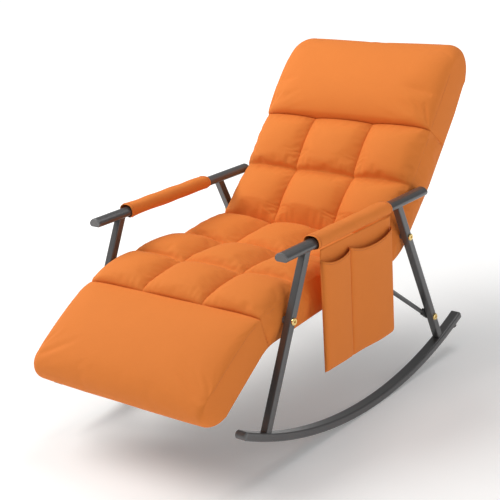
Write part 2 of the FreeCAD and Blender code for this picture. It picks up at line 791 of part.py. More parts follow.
def cushion_slice(x, seams, crowns):
    """One slice of a cushion: flat below, an arc over each row, a roll at either tip."""
    edges = []
    tops = []
    if seams[0] is None:
        back = corner_setback(FOOT_CORNER, x)
        low = (FOOT_ROLL + 8 + back, -CUSHION_UNDER)
        front = (1 + back, 8.0)
        top = (FOOT_ROLL + back, crown_height(FOOT_TOP, FOOT_SIDE, 0, x))
        edges.append(arc_through(x, low, (15 + back, -20.0), front))
        edges.append(arc_through(x, front, (8 + back, 36.0), top))
        tops.append(top)
    else:
        place, tuft, edge = seams[0]
        place += CUSHION_SEAM_GAP / 2
        low = (place, -CUSHION_UNDER)
        tops.append((place, seam_height(tuft, edge, x)))
        edges.append(Part.LineSegment(SEAT.at(*low, x), SEAT.at(*tops[0], x)).toShape())
    for place, tuft, edge in seams[1:-1]:
        tops.append((place, seam_height(tuft, edge, x)))
    if seams[-1] is None:
        back = corner_setback(HEAD_CORNER, x)
        tip = SEAT.length - back
        high = (tip - HEAD_ROLL - 8, -CUSHION_UNDER)
        rear = (tip, 0.0)
        top = (tip - HEAD_ROLL, crown_height(HEAD_TOP, HEAD_SIDE, 0, x))
        edges.append(arc_through(x, high, (tip - 14, -25.0), rear))
        edges.append(arc_through(x, rear, (tip - 12, 31.0), top))
        tops.append(top)
    else:
        place, tuft, edge = seams[-1]
        place -= CUSHION_SEAM_GAP / 2
        high = (place, -CUSHION_UNDER)
        tops.append((place, seam_height(tuft, edge, x)))
        edges.append(Part.LineSegment(SEAT.at(*high, x), SEAT.at(*tops[-1], x)).toShape())
    for first, last, crown in zip(tops, tops[1:], crowns):
        middle = ((first[0] + last[0]) / 2, crown_height(*crown, x))
        edges.append(arc_through(x, first, middle, last))
    edges += SEAT.stretch(low[0], high[0], -CUSHION_UNDER, x)
    return Part.Wire(Part.__sortEdges__(edges))


def cushion(seams, crowns):
    """A quilted cushion with a boxed edge, hollow below for the frame."""
    quilted = crowns[0][-1] > 0
    slices = [cushion_slice(x, seams, crowns) for x in stations(quilted)]
    body = Part.makeLoft(slices, True, True)
    room = SEAT.band(
        FOOT_WALL, SEAT.length - HEAD_WALL, -CUSHION_UNDER - 1,
        RAIL_LIFT + SLING_TOP + PAD_CLEARANCE, HALF_WIDTH - SIDE_WALL)
    body = body.cut(room)
    for bolt in (FRONT_BOLT, REAR_BOLT):
        body = drilled(body, bolt, BUSH_DIAMETER + 1, HALF_SPACING)
    return body


def cover_underside():
    """The cloth panel that closes the cushions' hollow from below and behind."""
    return SEAT.band(
        FOOT_WALL + PAD_CLEARANCE, SEAT.length - HEAD_WALL - PAD_CLEARANCE,
        -CUSHION_UNDER, -CUSHION_UNDER + UNDERSIDE_THICKNESS,
        HALF_WIDTH - SIDE_WALL - PAD_CLEARANCE)


def sleeve_outline(side_wall, top_wall, bottom_wall):
    """The sleeve's outline across the armrest; walls of nothing give its hollow."""
    return armrest_section(
        SLEEVE_SNUG_GAP + SLEEVE_SIDE_LOOSENESS + side_wall, SLEEVE_SNUG_GAP + top_wall,
        SLEEVE_SNUG_GAP + SLEEVE_BOTTOM_LOOSENESS + bottom_wall)


SLEEVE_SKIN = sleeve_outline(SLEEVE_SIDE_WALL, SLEEVE_TOP_PAD, SLEEVE_BOTTOM_WALL)


def armrest_sleeve():
    """A padded fabric sleeve round the armrest, resting on its crown."""
    sleeve = ring_face(SLEEVE_SKIN, sleeve_outline(0, 0, 0)).extrude(
        Vector(0, SLEEVE_LENGTH, 0))
    sleeve.translate(Vector(0, SLEEVE_FRONT_Y, ARM_HEIGHT))
    return sleeve


def under_sleeve(x):
    """The height of the left sleeve's lower face at a distance from the middle."""
    across = x - HALF_SPACING
    plumb = Part.LineSegment(Vector(across, 0, -ARM_HEIGHT), Vector(across, 0, 0)).toShape()
    return ARM_HEIGHT + SLEEVE_SKIN.distToShape(plumb)[1][0][0].z


POCKET_INNER_X = HALF_SPACING + POCKET_FROM_ARM
POCKET_OUTER_X = POCKET_INNER_X + POCKET_FABRIC + POCKET_ROOM
POCKET_REAR_Y = POCKET_FRONT_Y + POCKET_LENGTH
POCKET_SEAM_Y = POCKET_FRONT_Y + POCKET_SEAM_FROM_FRONT
POCKET_TOP = under_sleeve(POCKET_INNER_X) - POCKET_HANG_GAP


def pocket_back_panel():
    """The cloth that hangs from the sleeve behind both pockets."""
    return box(
        Vector(POCKET_INNER_X, POCKET_FRONT_Y, POCKET_BOTTOM),
        Vector(POCKET_INNER_X + POCKET_FABRIC, POCKET_REAR_Y, POCKET_TOP))


def pocket_front(start_y, end_y, dip):
    """The outer cloth of one pocket, with a mouth that dips between its corners."""
    x = POCKET_OUTER_X
    middle_y = (start_y + end_y) / 2
    foot_rear = Vector(x, end_y, POCKET_BOTTOM)
    foot_front = Vector(x, start_y, POCKET_BOTTOM)
    top_front = Vector(x, start_y, POCKET_MOUTH)
    top_rear = Vector(x, end_y, POCKET_MOUTH)
    lowest = Vector(x, middle_y, POCKET_MOUTH - dip)
    outline = Part.Wire([
        Part.LineSegment(foot_rear, foot_front).toShape(),
        Part.LineSegment(foot_front, top_front).toShape(),
        Part.Arc(top_front, lowest, top_rear).toShape(),
        Part.LineSegment(top_rear, foot_rear).toShape()])
    return Part.Face(outline).extrude(Vector(POCKET_FABRIC, 0, 0))


def pocket_front_narrow():
    end = POCKET_SEAM_Y - POCKET_JOIN_GAP / 2
    return pocket_front(POCKET_FRONT_Y, end, NARROW_MOUTH_DIP)


def pocket_front_wide():
    start = POCKET_SEAM_Y + POCKET_JOIN_GAP / 2
    return pocket_front(start, POCKET_REAR_Y, WIDE_MOUTH_DIP)


def pocket_gussets():
    """The strips of cloth between the pockets' back and front."""
    low_x = POCKET_INNER_X + POCKET_FABRIC + POCKET_JOIN_GAP
    high_x = POCKET_OUTER_X - POCKET_JOIN_GAP
    floor = POCKET_BOTTOM + POCKET_FABRIC
    strips = [box(
        Vector(low_x, POCKET_FRONT_Y, POCKET_BOTTOM),
        Vector(high_x, POCKET_REAR_Y, floor))]
    for y in (POCKET_FRONT_Y, POCKET_SEAM_Y - POCKET_FABRIC / 2, POCKET_REAR_Y - POCKET_FABRIC):
        strips.append(box(
            Vector(low_x, y, floor + POCKET_JOIN_GAP),
            Vector(high_x, y + POCKET_FABRIC, POCKET_MOUTH - 3)))
    return Part.makeCompound(strips)


KNEE = (KNEE_SEAM, KNEE_TUFT, KNEE_EDGE)
THIGH = (THIGH_SEAM, THIGH_TUFT, THIGH_EDGE)
HIP = (HIP_SEAM, HIP_TUFT, HIP_EDGE)
CREASE = (CREASE_SEAM, CREASE_TUFT, CREASE_EDGE)
LUMBAR = (LUMBAR_SEAM, LUMBAR_TUFT, LUMBAR_EDGE)
SHOULDER = (SHOULDER_SEAM, SHOULDER_TUFT, SHOULDER_EDGE)


def leg_cushion():
    return cushion([None, KNEE], [(LEG_CROWN, LEG_SIDE, 0)])


def seat_cushion():
    rows = [
        (THIGH_CROWN, THIGH_SIDE, CHANNEL_DEPTH), (SEAT_CROWN, SEAT_SIDE, CHANNEL_DEPTH),
        (HIP_CROWN, HIP_SIDE, CHANNEL_DEPTH)]
    return cushion([KNEE, THIGH, HIP, CREASE], rows)


def back_cushion():
    rows = [
        (BACK_CROWN, BACK_SIDE, CHANNEL_DEPTH),
        (SHOULDER_CROWN, SHOULDER_SIDE, CHANNEL_DEPTH)]
    return cushion([CREASE, LUMBAR, SHOULDER], rows)


def headrest_cushion():
    return cushion([SHOULDER, None], [(HEAD_CROWN, HEADREST_SIDE, 0)])


def side_pieces():
    """Pieces drawn at the middle that both side frames share."""
    return {
        "armrest_tube": armrest_tube(),
        "armrest_end_plugs": armrest_plugs(),
        "armrest_sleeve": armrest_sleeve(),
        "front_leg": front_leg(),
        "rear_leg": rear_leg(),
        "runner": runner_tube(),
    }


def paired(shape):
    """A piece drawn at the middle, put on both side frames as one group."""
    pair = []
    for side in SIDES.values():
        copy = shape.copy()
        copy.translate(Vector(side * HALF_SPACING, 0, 0))
        pair.append(copy)
    return Part.makeCompound(pair)


def middle_pieces():
    """Pieces drawn in their own place."""
    pieces = {
        "runner_nose_caps": paired(runner_nose_cap()),
        "runner_tail_caps": paired(runner_tail_cap()),
        "rear_bumpers": paired(rear_bumper()),
        "rail_end_plugs": rail_end_plugs(),
        "foot_tube": cross_tube(FOOT_TUBE_PLACE),
        "knee_tube": cross_tube(KNEE_TUBE_PLACE),
        "crease_tube": cross_tube(CREASE_TUBE_PLACE),
        "shoulder_tube": cross_tube(SHOULDER_TUBE_PLACE),
        "head_tube": cross_tube(HEAD_TUBE_PLACE),
        "support_sling": support_sling(),
        "leg_cushion": leg_cushion(),
        "seat_cushion": seat_cushion(),
        "back_cushion": back_cushion(),
        "headrest_cushion": headrest_cushion(),
        "cover_underside": cover_underside(),
        "seat_support_bar": support_bar(),
        "seat_bolts": seat_bolts(),
        "support_bar_bolts": bar_bolts(),
        "spacer_bushes": spacer_bushes(),
        "lock_nuts": lock_nuts(),
        "pocket_back_panel": pocket_back_panel(),
        "pocket_front_narrow": pocket_front_narrow(),
        "pocket_front_wide": pocket_front_wide(),
        "pocket_gussets": pocket_gussets(),
    }
    for name, side in SIDES.items():
        pieces["seat_rail_" + name] = seat_rail(side)
        pieces["back_rail_" + name] = back_rail(side)
        pieces["rail_insert_" + name] = rail_insert(side)
    return pieces


def write_parts():
    os.makedirs("parts", exist_ok=True)
    for piece, shape in side_pieces().items():
        for name, side in SIDES.items():
            copy = shape.copy()
            copy.translate(Vector(side * HALF_SPACING, 0, 0))
            copy.exportStep("parts/" + piece + "_" + name + ".step")
    for piece, shape in middle_pieces().items():
        shape.exportStep("parts/" + piece + ".step")


write_parts()
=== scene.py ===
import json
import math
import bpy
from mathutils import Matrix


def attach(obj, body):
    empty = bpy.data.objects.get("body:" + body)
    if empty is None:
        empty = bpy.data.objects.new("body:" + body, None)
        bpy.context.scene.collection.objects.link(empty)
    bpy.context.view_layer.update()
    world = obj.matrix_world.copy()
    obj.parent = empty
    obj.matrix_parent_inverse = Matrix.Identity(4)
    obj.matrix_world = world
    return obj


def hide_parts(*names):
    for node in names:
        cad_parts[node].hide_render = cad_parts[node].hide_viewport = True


bl_info = {
    "name": "Rocking Lounge Chair",
    "version": (1, 0, 0),
    "blender": (4, 5, 0),
    "location": "3D View > Sidebar > Rocking Chair",
    "description": "Dresses the steel frame with its quilted cover, sleeves, pocket and finishes",
    "category": "Object",
}

import bpy
import bmesh
import numpy as np
from mathutils import Matrix, Vector

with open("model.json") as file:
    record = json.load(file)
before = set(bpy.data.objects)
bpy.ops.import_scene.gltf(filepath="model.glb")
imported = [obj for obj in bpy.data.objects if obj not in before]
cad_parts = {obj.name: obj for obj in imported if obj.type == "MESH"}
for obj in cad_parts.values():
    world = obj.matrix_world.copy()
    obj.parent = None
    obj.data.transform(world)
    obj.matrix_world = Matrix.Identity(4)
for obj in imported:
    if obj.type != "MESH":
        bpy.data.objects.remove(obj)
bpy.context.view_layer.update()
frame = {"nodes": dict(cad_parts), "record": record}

# The bent line through the cushions, from the foot to the head: (run, slope), and its bends
CREASE_POINT = (0.1638, 0.3698)
RUNS = ((0.2567, 34.0), (0.5654, 4.2), (0.2036, 44.0), (0.2148, 49.5), (0.178, 55.0))
BENDS = (0.14, 0.11, 0.2, 0.2)

# Cushions, as heights off the bent line and places along it
HALF_WIDTH = 0.266
UNDERSIDE = 0.0366
TUFT_X = 0.094
SEAM_GAP = 0.0003
ROW_STEP = 0.006
WALL_STEPS = 16
SIDE_STEPS = 12
SIDE_PUFF = 0.0035
SEAM_HOLD = 0.004
CHANNEL_HOLD = 0.0035
# Gathers, as their pitch and how far they reach from a seam
FOLD_PITCH, FOLD_REACH = 0.0145, 0.026
FAN_PITCH, FAN_REACH = 0.016, 0.024
FOOT_ROLL, FOOT_CORNER, FOOT_TOP, FOOT_SIDE = 0.038, 0.014, 0.054, 0.046
HEAD_ROLL, HEAD_CORNER, HEAD_TOP, HEAD_SIDE = 0.042, 0.042, 0.056, 0.046
# A cross seam is (place, height at a tuft, height at the side)
KNEE = (0.262, 0.044, 0.039)
THIGH = (0.409, 0.054, 0.050)
HIP = (0.596, 0.025, 0.031)
CREASE = (0.785, 0.020, 0.033)
LUMBAR = (0.972, 0.049, 0.041)
SHOULDER = (1.138, 0.059, 0.047)
# A cushion is its seams, its rows of filling as (crown, height at the side), whether it
# is quilted, and how far up each row it is fullest
CUSHIONS = {
    "leg_cushion": ((None, KNEE), ((0.068, 0.049),), False, 0.55),
    "seat_cushion": (
        (KNEE, THIGH, HIP, CREASE), ((0.082, 0.050), (0.075, 0.046), (0.056, 0.035)), True,
        0.46),
    "back_cushion": (
        (CREASE, LUMBAR, SHOULDER), ((0.082, 0.044), (0.094, 0.049)), True, 0.38),
    "headrest_cushion": ((SHOULDER, None), ((0.099, 0.054),), False, 0.39),
}

# The sling inside the cover and the lining under it
SLING_INSET, SLING_HEIGHT, SLING_HALF_WIDTH, SLING_FLAP = 0.058, 0.0182, 0.2508, 0.018
LINING_START, LINING_INSET, LINING_HALF_WIDTH, LINING_SAG = 0.052, 0.054, 0.2545, 0.0015
LINING_GAP = 0.0009
SHEET_THICKNESS = 0.0012

# Armrests, sleeves and pocket
ARM_X = 0.290
ARM_Z = 0.497
SLEEVE_START, SLEEVE_LENGTH = -0.2355, 0.316
SLEEVE_OUTER, SLEEVE_INNER, SLEEVE_RISE, SLEEVE_DROP = 0.0237, 0.0206, 0.0183, 0.0152
SLEEVE_JOIN_DROP = 0.0129
SLEEVE_WALL = 0.0028
SLEEVE_LIP = 0.0012
SLEEVE_HEM = 0.008
RING_POINTS = 57
SLEEVE_RINGS = 61
POCKET_X = 0.310
POCKET_START, POCKET_LENGTH = -0.2305, 0.298
POCKET_LOW, POCKET_MOUTH, POCKET_HIGH = 0.180, 0.457, 0.4835
POCKET_SEAM_Y = -0.1175
POCKET_ROOM = 0.0085
POCKET_BACK_FABRIC, POCKET_FABRIC = 0.0014, 0.0013
NARROW_DIP, WIDE_DIP = 0.012, 0.017
MOUTH_GAPE, POCKET_BELLY = 0.004, 0.003
POCKET_HEM = 0.011

# Camera, found from the photograph
CAMERA_PLACE = (1.8289, -2.3381, 1.3404)
CAMERA_AZIMUTH, CAMERA_ELEVATION, CAMERA_ROLL, CAMERA_ANGLE = 39.26, 18.08, 3.74, 23.486

# Lights as (name, place, size, power, colour), the world's light and the floor's own glow
LIGHTS = (
    ("key", (-2.2, -1.3, 3.1), 2.8, 118, (1.0, 0.985, 0.96)),
    ("top", (0.3, 0.9, 3.4), 2.0, 26, (1.0, 1.0, 1.0)),
    ("side", (3.6, -0.2, 1.2), 2.6, 24, (1.0, 0.99, 0.98)),
)
LIGHT_AIM = (0, 0, 0.35)
WORLD_LIGHT = 0.3
FLOOR_REACH = 9
FLOOR_GLOW = (("From Min", 0.8), ("From Max", 3.5), ("To Min", 0.14), ("To Max", 0.8))


class ChairLooks(bpy.types.PropertyGroup):
    cover_colour: bpy.props.FloatVectorProperty(
        name="Cover", description="Colour of the quilted cover", subtype="COLOR",
        default=(0.76, 0.212, 0.026), min=0, max=1)
    cover_shade: bpy.props.FloatVectorProperty(
        name="Cover shade", description="Deeper colour in the cover's yarn", subtype="COLOR",
        default=(0.68, 0.180, 0.021), min=0, max=1)
    thread_colour: bpy.props.FloatVectorProperty(
        name="Thread", description="Colour of the sewing thread", subtype="COLOR",
        default=(0.55, 0.15, 0.035), min=0, max=1)
    frame_colour: bpy.props.FloatVectorProperty(
        name="Frame", description="Colour of the powder coat", subtype="COLOR",
        default=(0.088, 0.087, 0.088), min=0, max=1)
    channel_depth: bpy.props.FloatProperty(
        name="Channel depth", description="Depth of the lengthwise sewn channels",
        default=0.026, min=0, max=0.04, unit="LENGTH")
    pucker_depth: bpy.props.FloatProperty(
        name="Pucker depth", description="Depth of the gathers beside the seams",
        default=0.0028, min=0, max=0.006, unit="LENGTH")
    filling_pressure: bpy.props.FloatProperty(
        name="Filling", description="Pressure of the filling in the blocks",
        default=3.5, min=0, max=10)
    filling_rise: bpy.props.FloatProperty(
        name="Filling rise", description="The most that the filling may lift the cloth",
        default=0.009, min=0, max=0.03, unit="LENGTH")
    ease: bpy.props.FloatProperty(
        name="Ease", description="Share by which the cloth is cut larger than its block",
        default=0.02, min=0, max=0.1)
    stitch_spacing: bpy.props.FloatProperty(
        name="Stitch spacing", description="Distance from stitch to stitch",
        default=0.0048, min=0.002, max=0.02, unit="LENGTH")
    stitch_length: bpy.props.FloatProperty(
        name="Stitch length", description="Length of one stitch",
        default=0.0033, min=0.001, max=0.01, unit="LENGTH")
    thread_thickness: bpy.props.FloatProperty(
        name="Thread thickness", description="Thickness of the sewing thread",
        default=0.0009, min=0.0003, max=0.003, unit="LENGTH")


def bent_line():
    """Places along the line with the line's slope, y and z there."""
    places, slopes, spent = [0.0], [math.radians(RUNS[0][1])], 0.0
    for (run, slope), (_, following), radius in zip(RUNS, RUNS[1:], BENDS):
        turn = math.radians(abs(following - slope))
        cut = radius * math.tan(turn / 2)
        straight_end = places[-1] + run - spent - cut
        places += [straight_end, straight_end + radius * turn]
        slopes += [math.radians(slope), math.radians(following)]
        spent = cut
    places.append(places[-1] + RUNS[-1][0] - spent)
    slopes.append(slopes[-1])
    fine = np.linspace(0, places[-1], 4001)
    slope = np.interp(fine, places, slopes)
    half = np.interp((fine[1:] + fine[:-1]) / 2, places, slopes)
    step = fine[1] - fine[0]
    y = np.concatenate([[0], np.cumsum(np.cos(half)) * step])
    z = np.concatenate([[0], np.cumsum(np.sin(half)) * step])
    foot_y, foot_z = CREASE_POINT
    for run, slope_at in RUNS[:2]:
        foot_y -= run * math.cos(math.radians(slope_at))
        foot_z -= run * math.sin(math.radians(slope_at))
    return fine, slope, y + foot_y, z + foot_z


LINE = bent_line()
LINE_LENGTH = LINE[0][-1]


def on_line(place, height, x):
    """Points at a place along the line, a height off it and a distance from the middle."""
    slope = np.interp(place, LINE[0], LINE[1])
    y = np.interp(place, LINE[0], LINE[2]) - height * np.sin(slope)
    z = np.interp(place, LINE[0], LINE[3]) + height * np.cos(slope)
    return np.stack(np.broadcast_arrays(x, y, z), -1)


def puff(share, sharpness):
    """A pillow's rise over its width: nothing at 0 and 1, full at the middle."""
    return (1 - np.abs(2 * np.clip(share, 0, 1) - 1) ** 2.1) ** sharpness


def sagged(share, fullest):
    """A row's rise from its lower seam to its upper one, steep below and easy above."""
    share = np.clip(share, 0, 1)
    even = share ** (math.log(0.5) / math.log(fullest))
    return (1 - np.abs(2 * even - 1) ** 2.2) ** (0.5 + 0.3 * share)


def across_puff(x):
    """The pillow rise of the three blocks across the width, full towards the sides."""
    far = np.abs(x)
    outer = 0.5 + (far - TUFT_X) / (HALF_WIDTH - TUFT_X) * 0.999
    centre = puff((far + TUFT_X) / (2 * TUFT_X), 0.72)
    beside = puff(np.clip(outer - 0.5, 0, 0.5), 0.72)
    return np.where(far < TUFT_X, centre, beside)


def side_fall(x):
    """One over most of the width, falling to nothing at the cushion's side seam."""
    start = (HALF_WIDTH + TUFT_X) / 2
    share = np.clip((np.abs(x) - start) / (HALF_WIDTH - start), 0, 1)
    return np.sqrt(1 - share ** 2)


def seam_height(seam, x, quilted):
    """Height of a cross seam, lowest at the tufts."""
    _, tuft, side = seam
    inner = tuft + (0.012 * across_puff(x) - 0.003 if quilted else 0.003)
    return side + (inner - side) * side_fall(x)


def gathers(place, x, seams, depth):
    """Small folds that run away from the tufts and the lengthwise seams."""
    beside = np.abs(np.abs(x) - TUFT_X)
    near_seam = np.exp(-(beside / FOLD_REACH) ** 2) * (1 - np.exp(-(beside / 0.003) ** 2))
    wander = np.sin(place * 97 + 3 * np.sin(x * 61)) + np.sin(place * 41 + 1.3)
    folds = np.sin(place * 2 * math.pi / FOLD_PITCH + 1.5 * wander)
    total = np.zeros(np.broadcast(place, x).shape)
    for seam in seams:
        away = place - seam[0]
        close = np.exp(-(away / 0.06) ** 2) * np.where(away > 0, 1.0, 0.4)
        total = total + near_seam * close * folds * (1 - np.exp(-(away / 0.016) ** 2))
        near_cross = np.exp(-(away / FAN_REACH) ** 2) * (1 - np.exp(-(away / 0.004) ** 2))
        near_cross = near_cross * np.where(away > 0, 1.0, 0.5)
        fan = np.sin(x * 2 * math.pi / FAN_PITCH + 2 * np.sin(x * 53 + seam[0] * 9))
        aside = np.exp(-(beside / 0.055) ** 2) * (1 - np.exp(-(beside / 0.02) ** 2))
        total = total + 0.9 * near_cross * fan * aside
    return depth * total


def arc(first, middle, last, count):
    """Points on the circle through three (place, height) points."""
    (ax, ay), (bx, by), (cx, cy) = first, middle, last
    d = 2 * (ax * (by - cy) + bx * (cy - ay) + cx * (ay - by))
    a2, b2, c2 = ax * ax + ay * ay, bx * bx + by * by, cx * cx + cy * cy
    ox = (a2 * (by - cy) + b2 * (cy - ay) + c2 * (ay - by)) / d
    oy = (a2 * (cx - bx) + b2 * (ax - cx) + c2 * (bx - ax)) / d
    turns = np.unwrap([math.atan2(y - oy, x - ox) for x, y in (first, middle, last)])
    turn = np.linspace(turns[0], turns[2], count)
    radius = math.hypot(ax - ox, ay - oy)
    return np.stack([ox + radius * np.cos(turn), oy + radius * np.sin(turn)], 1)


def setback(corner, x):
    """How far an end's rounded corner has drawn back at a distance from the middle."""
    share = np.clip((abs(x) - (HALF_WIDTH - corner * 1.2)) / (corner * 1.2), 0, 1)
    return corner * (1 - math.sqrt(1 - share ** 2))


def end_path(x, at_head):
    """The rolled end of the cover at the foot or the head, from below to the top."""
    back = setback(HEAD_CORNER if at_head else FOOT_CORNER, x)
    roll, top, side = (
        (HEAD_ROLL, HEAD_TOP, HEAD_SIDE) if at_head else (FOOT_ROLL, FOOT_TOP, FOOT_SIDE))
    crown = side + (top - side) * float(side_fall(np.array(x)))
    if at_head:
        tip = LINE_LENGTH - back
        low = arc((tip - roll - 0.008, -UNDERSIDE), (tip - 0.014, -0.025), (tip, 0.0), 8)
        high = arc((tip, 0.0), (tip - 0.012, 0.031), (tip - roll, crown), 9)
    else:
        low = arc((roll + 0.008 + back, -UNDERSIDE), (0.015 + back, -0.020),
                  (0.001 + back, 0.008), 8)
        high = arc((0.001 + back, 0.008), (0.008 + back, 0.036), (roll + back, crown), 9)
    return np.concatenate([low, high[1:]])


def wall_path(seam, x, quilted, way):
    """The end of a cushion at a cross seam, from below up to the seam."""
    place = seam[0] + way * SEAM_GAP / 2
    high = float(seam_height(seam, np.array(x), quilted))
    heights = np.linspace(-UNDERSIDE, high, WALL_STEPS)
    return np.stack([np.full(WALL_STEPS, place), heights], 1)


def cushion_path(x, seams, rows, quilted, fullest, looks):
    """The outline over a cushion at a distance from the middle, low edge to low edge."""
    flat_x = np.array(x)
    start = end_path(x, False) if seams[0] is None else wall_path(seams[0], x, quilted, 1)
    end = end_path(x, True) if seams[-1] is None else wall_path(seams[-1], x, quilted, -1)
    stops = [start[-1]]
    stops += [(s[0], float(seam_height(s, flat_x, quilted))) for s in seams[1:-1]]
    stops.append(end[-1])
    path = [start]
    ends = [s[0] if s else None for s in seams]
    ends[0] = FOOT_ROLL if ends[0] is None else ends[0]
    ends[-1] = LINE_LENGTH - HEAD_ROLL if ends[-1] is None else ends[-1]
    counts = [int((b - a) / ROW_STEP) for a, b in zip(ends, ends[1:])]
    for (p0, h0), (p1, h1), (crown, side), count in zip(stops, stops[1:], rows, counts):
        share = (1 - np.cos(np.linspace(0, math.pi, count))) / 2 * 0.35
        share = share + np.linspace(0, 1, count) * 0.65
        drop = looks.channel_depth * (1 - across_puff(flat_x)) if quilted else 0.0
        if abs(x) > (HALF_WIDTH + TUFT_X) / 2:
            drop = 0.0
        peak = side + (crown - drop - side) * side_fall(flat_x)
        base = h0 + (h1 - h0) * share
        rise = sagged(share, fullest)
        height = base + (peak - (h0 + h1) / 2) * rise
        place = p0 + (p1 - p0) * share
        if quilted:
            folds = gathers(place, flat_x, seams, looks.pucker_depth)
            height = height + folds * side_fall(flat_x)
        path.append(np.stack([place, height], 1)[1:])
    path.append(end[::-1][1:])
    return np.concatenate(path)


def spread_across(quilted):
    """Distances from the middle, closer together at the sides and, if quilted, the seams."""
    if not quilted:
        half = HALF_WIDTH * np.sin(np.linspace(0, math.pi / 2, 53)) ** 0.94
        return np.concatenate([-half[:0:-1], half])
    centre = np.linspace(0, TUFT_X, 17)
    centre = TUFT_X * np.sin(centre / TUFT_X * math.pi / 2) ** 0.9
    share = np.linspace(0, 1, 31)[1:]
    outer = TUFT_X + (HALF_WIDTH - TUFT_X) * (1 - np.cos(share * math.pi)) / 2
    half = np.concatenate([centre, outer])
    return np.concatenate([-half[:0:-1], half])


class Patches:
    """Grids of points that are sewn into one closed mesh where they meet."""

    def __init__(self):
        self.points, self.marks, self.maps, self.faces = [], [], [], []
        self.count = 0

    def add(self, points, uv, held):
        rows, columns = points.shape[:2]
        number = np.arange(rows * columns).reshape(rows, columns) + self.count
        quads = np.stack(
            [number[:-1, :-1], number[1:, :-1], number[1:, 1:], number[:-1, 1:]], -1)
        self.points.append(points.reshape(-1, 3))
        self.maps.append(np.broadcast_to(uv, (rows, columns, 2)).reshape(-1, 2))
        self.marks.append(np.broadcast_to(held, (rows, columns)).reshape(-1))
        self.faces += quads.reshape(-1, 4).tolist()
        self.count += rows * columns
        return number

    def build(self, name, material):
        """The mesh object, with held points in a group and the map of old to new points."""
        points = np.concatenate(self.points)
        uv = np.concatenate(self.maps)
        held = np.concatenate(self.marks)
        _, first, joined = np.unique(
            np.round(points, 6), axis=0, return_index=True, return_inverse=True)
        joined = joined.ravel()
        faces, corners = [], []
        for quad in self.faces:
            seen = []
            for old in quad:
                if joined[old] not in [joined[s] for s in seen]:
                    seen.append(old)
            if len(seen) > 2:
                faces.append([int(joined[old]) for old in seen])
                corners += [uv[old] for old in seen]
        mesh = bpy.data.meshes.new(name)
        mesh.from_pydata(points[first].tolist(), [], faces)
        layer = mesh.uv_layers.new(name="cloth")
        layer.data.foreach_set("uv", np.array(corners, np.float32).ravel())
        weight = np.zeros(len(first))
        np.maximum.at(weight, joined, held)
        shape = bmesh.new()
        shape.from_mesh(mesh)
        bmesh.ops.recalc_face_normals(shape, faces=shape.faces)
        if shape.calc_volume(signed=True) < 0:
            bmesh.ops.reverse_faces(shape, faces=shape.faces)
        shape.to_mesh(mesh)
        shape.free()
        mesh.shade_smooth()
        piece = bpy.data.objects.new(name, mesh)
        bpy.context.scene.collection.objects.link(piece)
        piece.data.materials.append(material)
        group = piece.vertex_groups.new(name="held")
        for value in np.unique(weight):
            if value > 0:
                group.add(np.nonzero(weight == value)[0].tolist(), float(value), "REPLACE")
        return piece, joined


def inflate(pieces, eases, pressure, rise, frames=20):
    """Fills the free cloth of the pieces, held at their seams, and keeps the result."""
    if pressure <= 0:
        return
    scene = bpy.context.scene
    for piece, ease in zip(pieces, eases):
        cloth = piece.modifiers.new("filling", "CLOTH")
        settings = cloth.settings
        settings.quality = 4
        settings.mass = 0.3
        settings.tension_stiffness = 22
        settings.compression_stiffness = 22
        settings.shear_stiffness = 8
        settings.bending_stiffness = 0.6
        settings.use_pressure = True
        settings.uniform_pressure_force = pressure
        settings.vertex_group_mass = "held"
        settings.shrink_min = -ease
        settings.effector_weights.gravity = 0
        cloth.collision_settings.use_collision = False
        cloth.point_cache.frame_start = 1
        cloth.point_cache.frame_end = frames
    for step in range(1, frames + 1):
        scene.frame_set(step)
    graph = bpy.context.evaluated_depsgraph_get()
    for piece in pieces:
        filled = piece.evaluated_get(graph).to_mesh()
        rest = points_of(piece.data)
        moved = points_of(filled) - rest
        far = np.linalg.norm(moved, axis=1, keepdims=True)
        moved = moved * np.minimum(1, rise / np.maximum(far, 1e-9))
        piece.evaluated_get(graph).to_mesh_clear()
        piece.modifiers.clear()
        piece.data.vertices.foreach_set("co", (rest + moved).astype(np.float32).ravel())
        piece.data.update()
    scene.frame_set(1)


def points_of(mesh):
    """The places of a mesh's vertices."""
    points = np.zeros(len(mesh.vertices) * 3, np.float32)
    mesh.vertices.foreach_get("co", points)
    return points.reshape(-1, 3).astype(float)


def smoothed(piece):
    """One level of subdivision, the same in the view and the render."""
    soft = piece.modifiers.new("smooth", "SUBSURF")
    soft.levels = soft.render_levels = 1
    return piece


def thread_path(name, points, closed=False):
    """A chain of edges that a row of stitches follows."""
    count = len(points)
    edges = [(i, i + 1) for i in range(count - 1)]
    if closed:
        edges.append((count - 1, 0))
    mesh = bpy.data.meshes.new(name)
    mesh.from_pydata([tuple(p) for p in points], edges, [])
    piece = bpy.data.objects.new(name, mesh)
    bpy.context.scene.collection.objects.link(piece)
    return piece


def socket(tree, kind, name, way="INPUT", value=None):
    """The identifier of a new socket of a node group."""
    made = tree.interface.new_socket(name, in_out=way, socket_type=kind)
    if value is not None:
        made.default_value = value
    return made.identifier


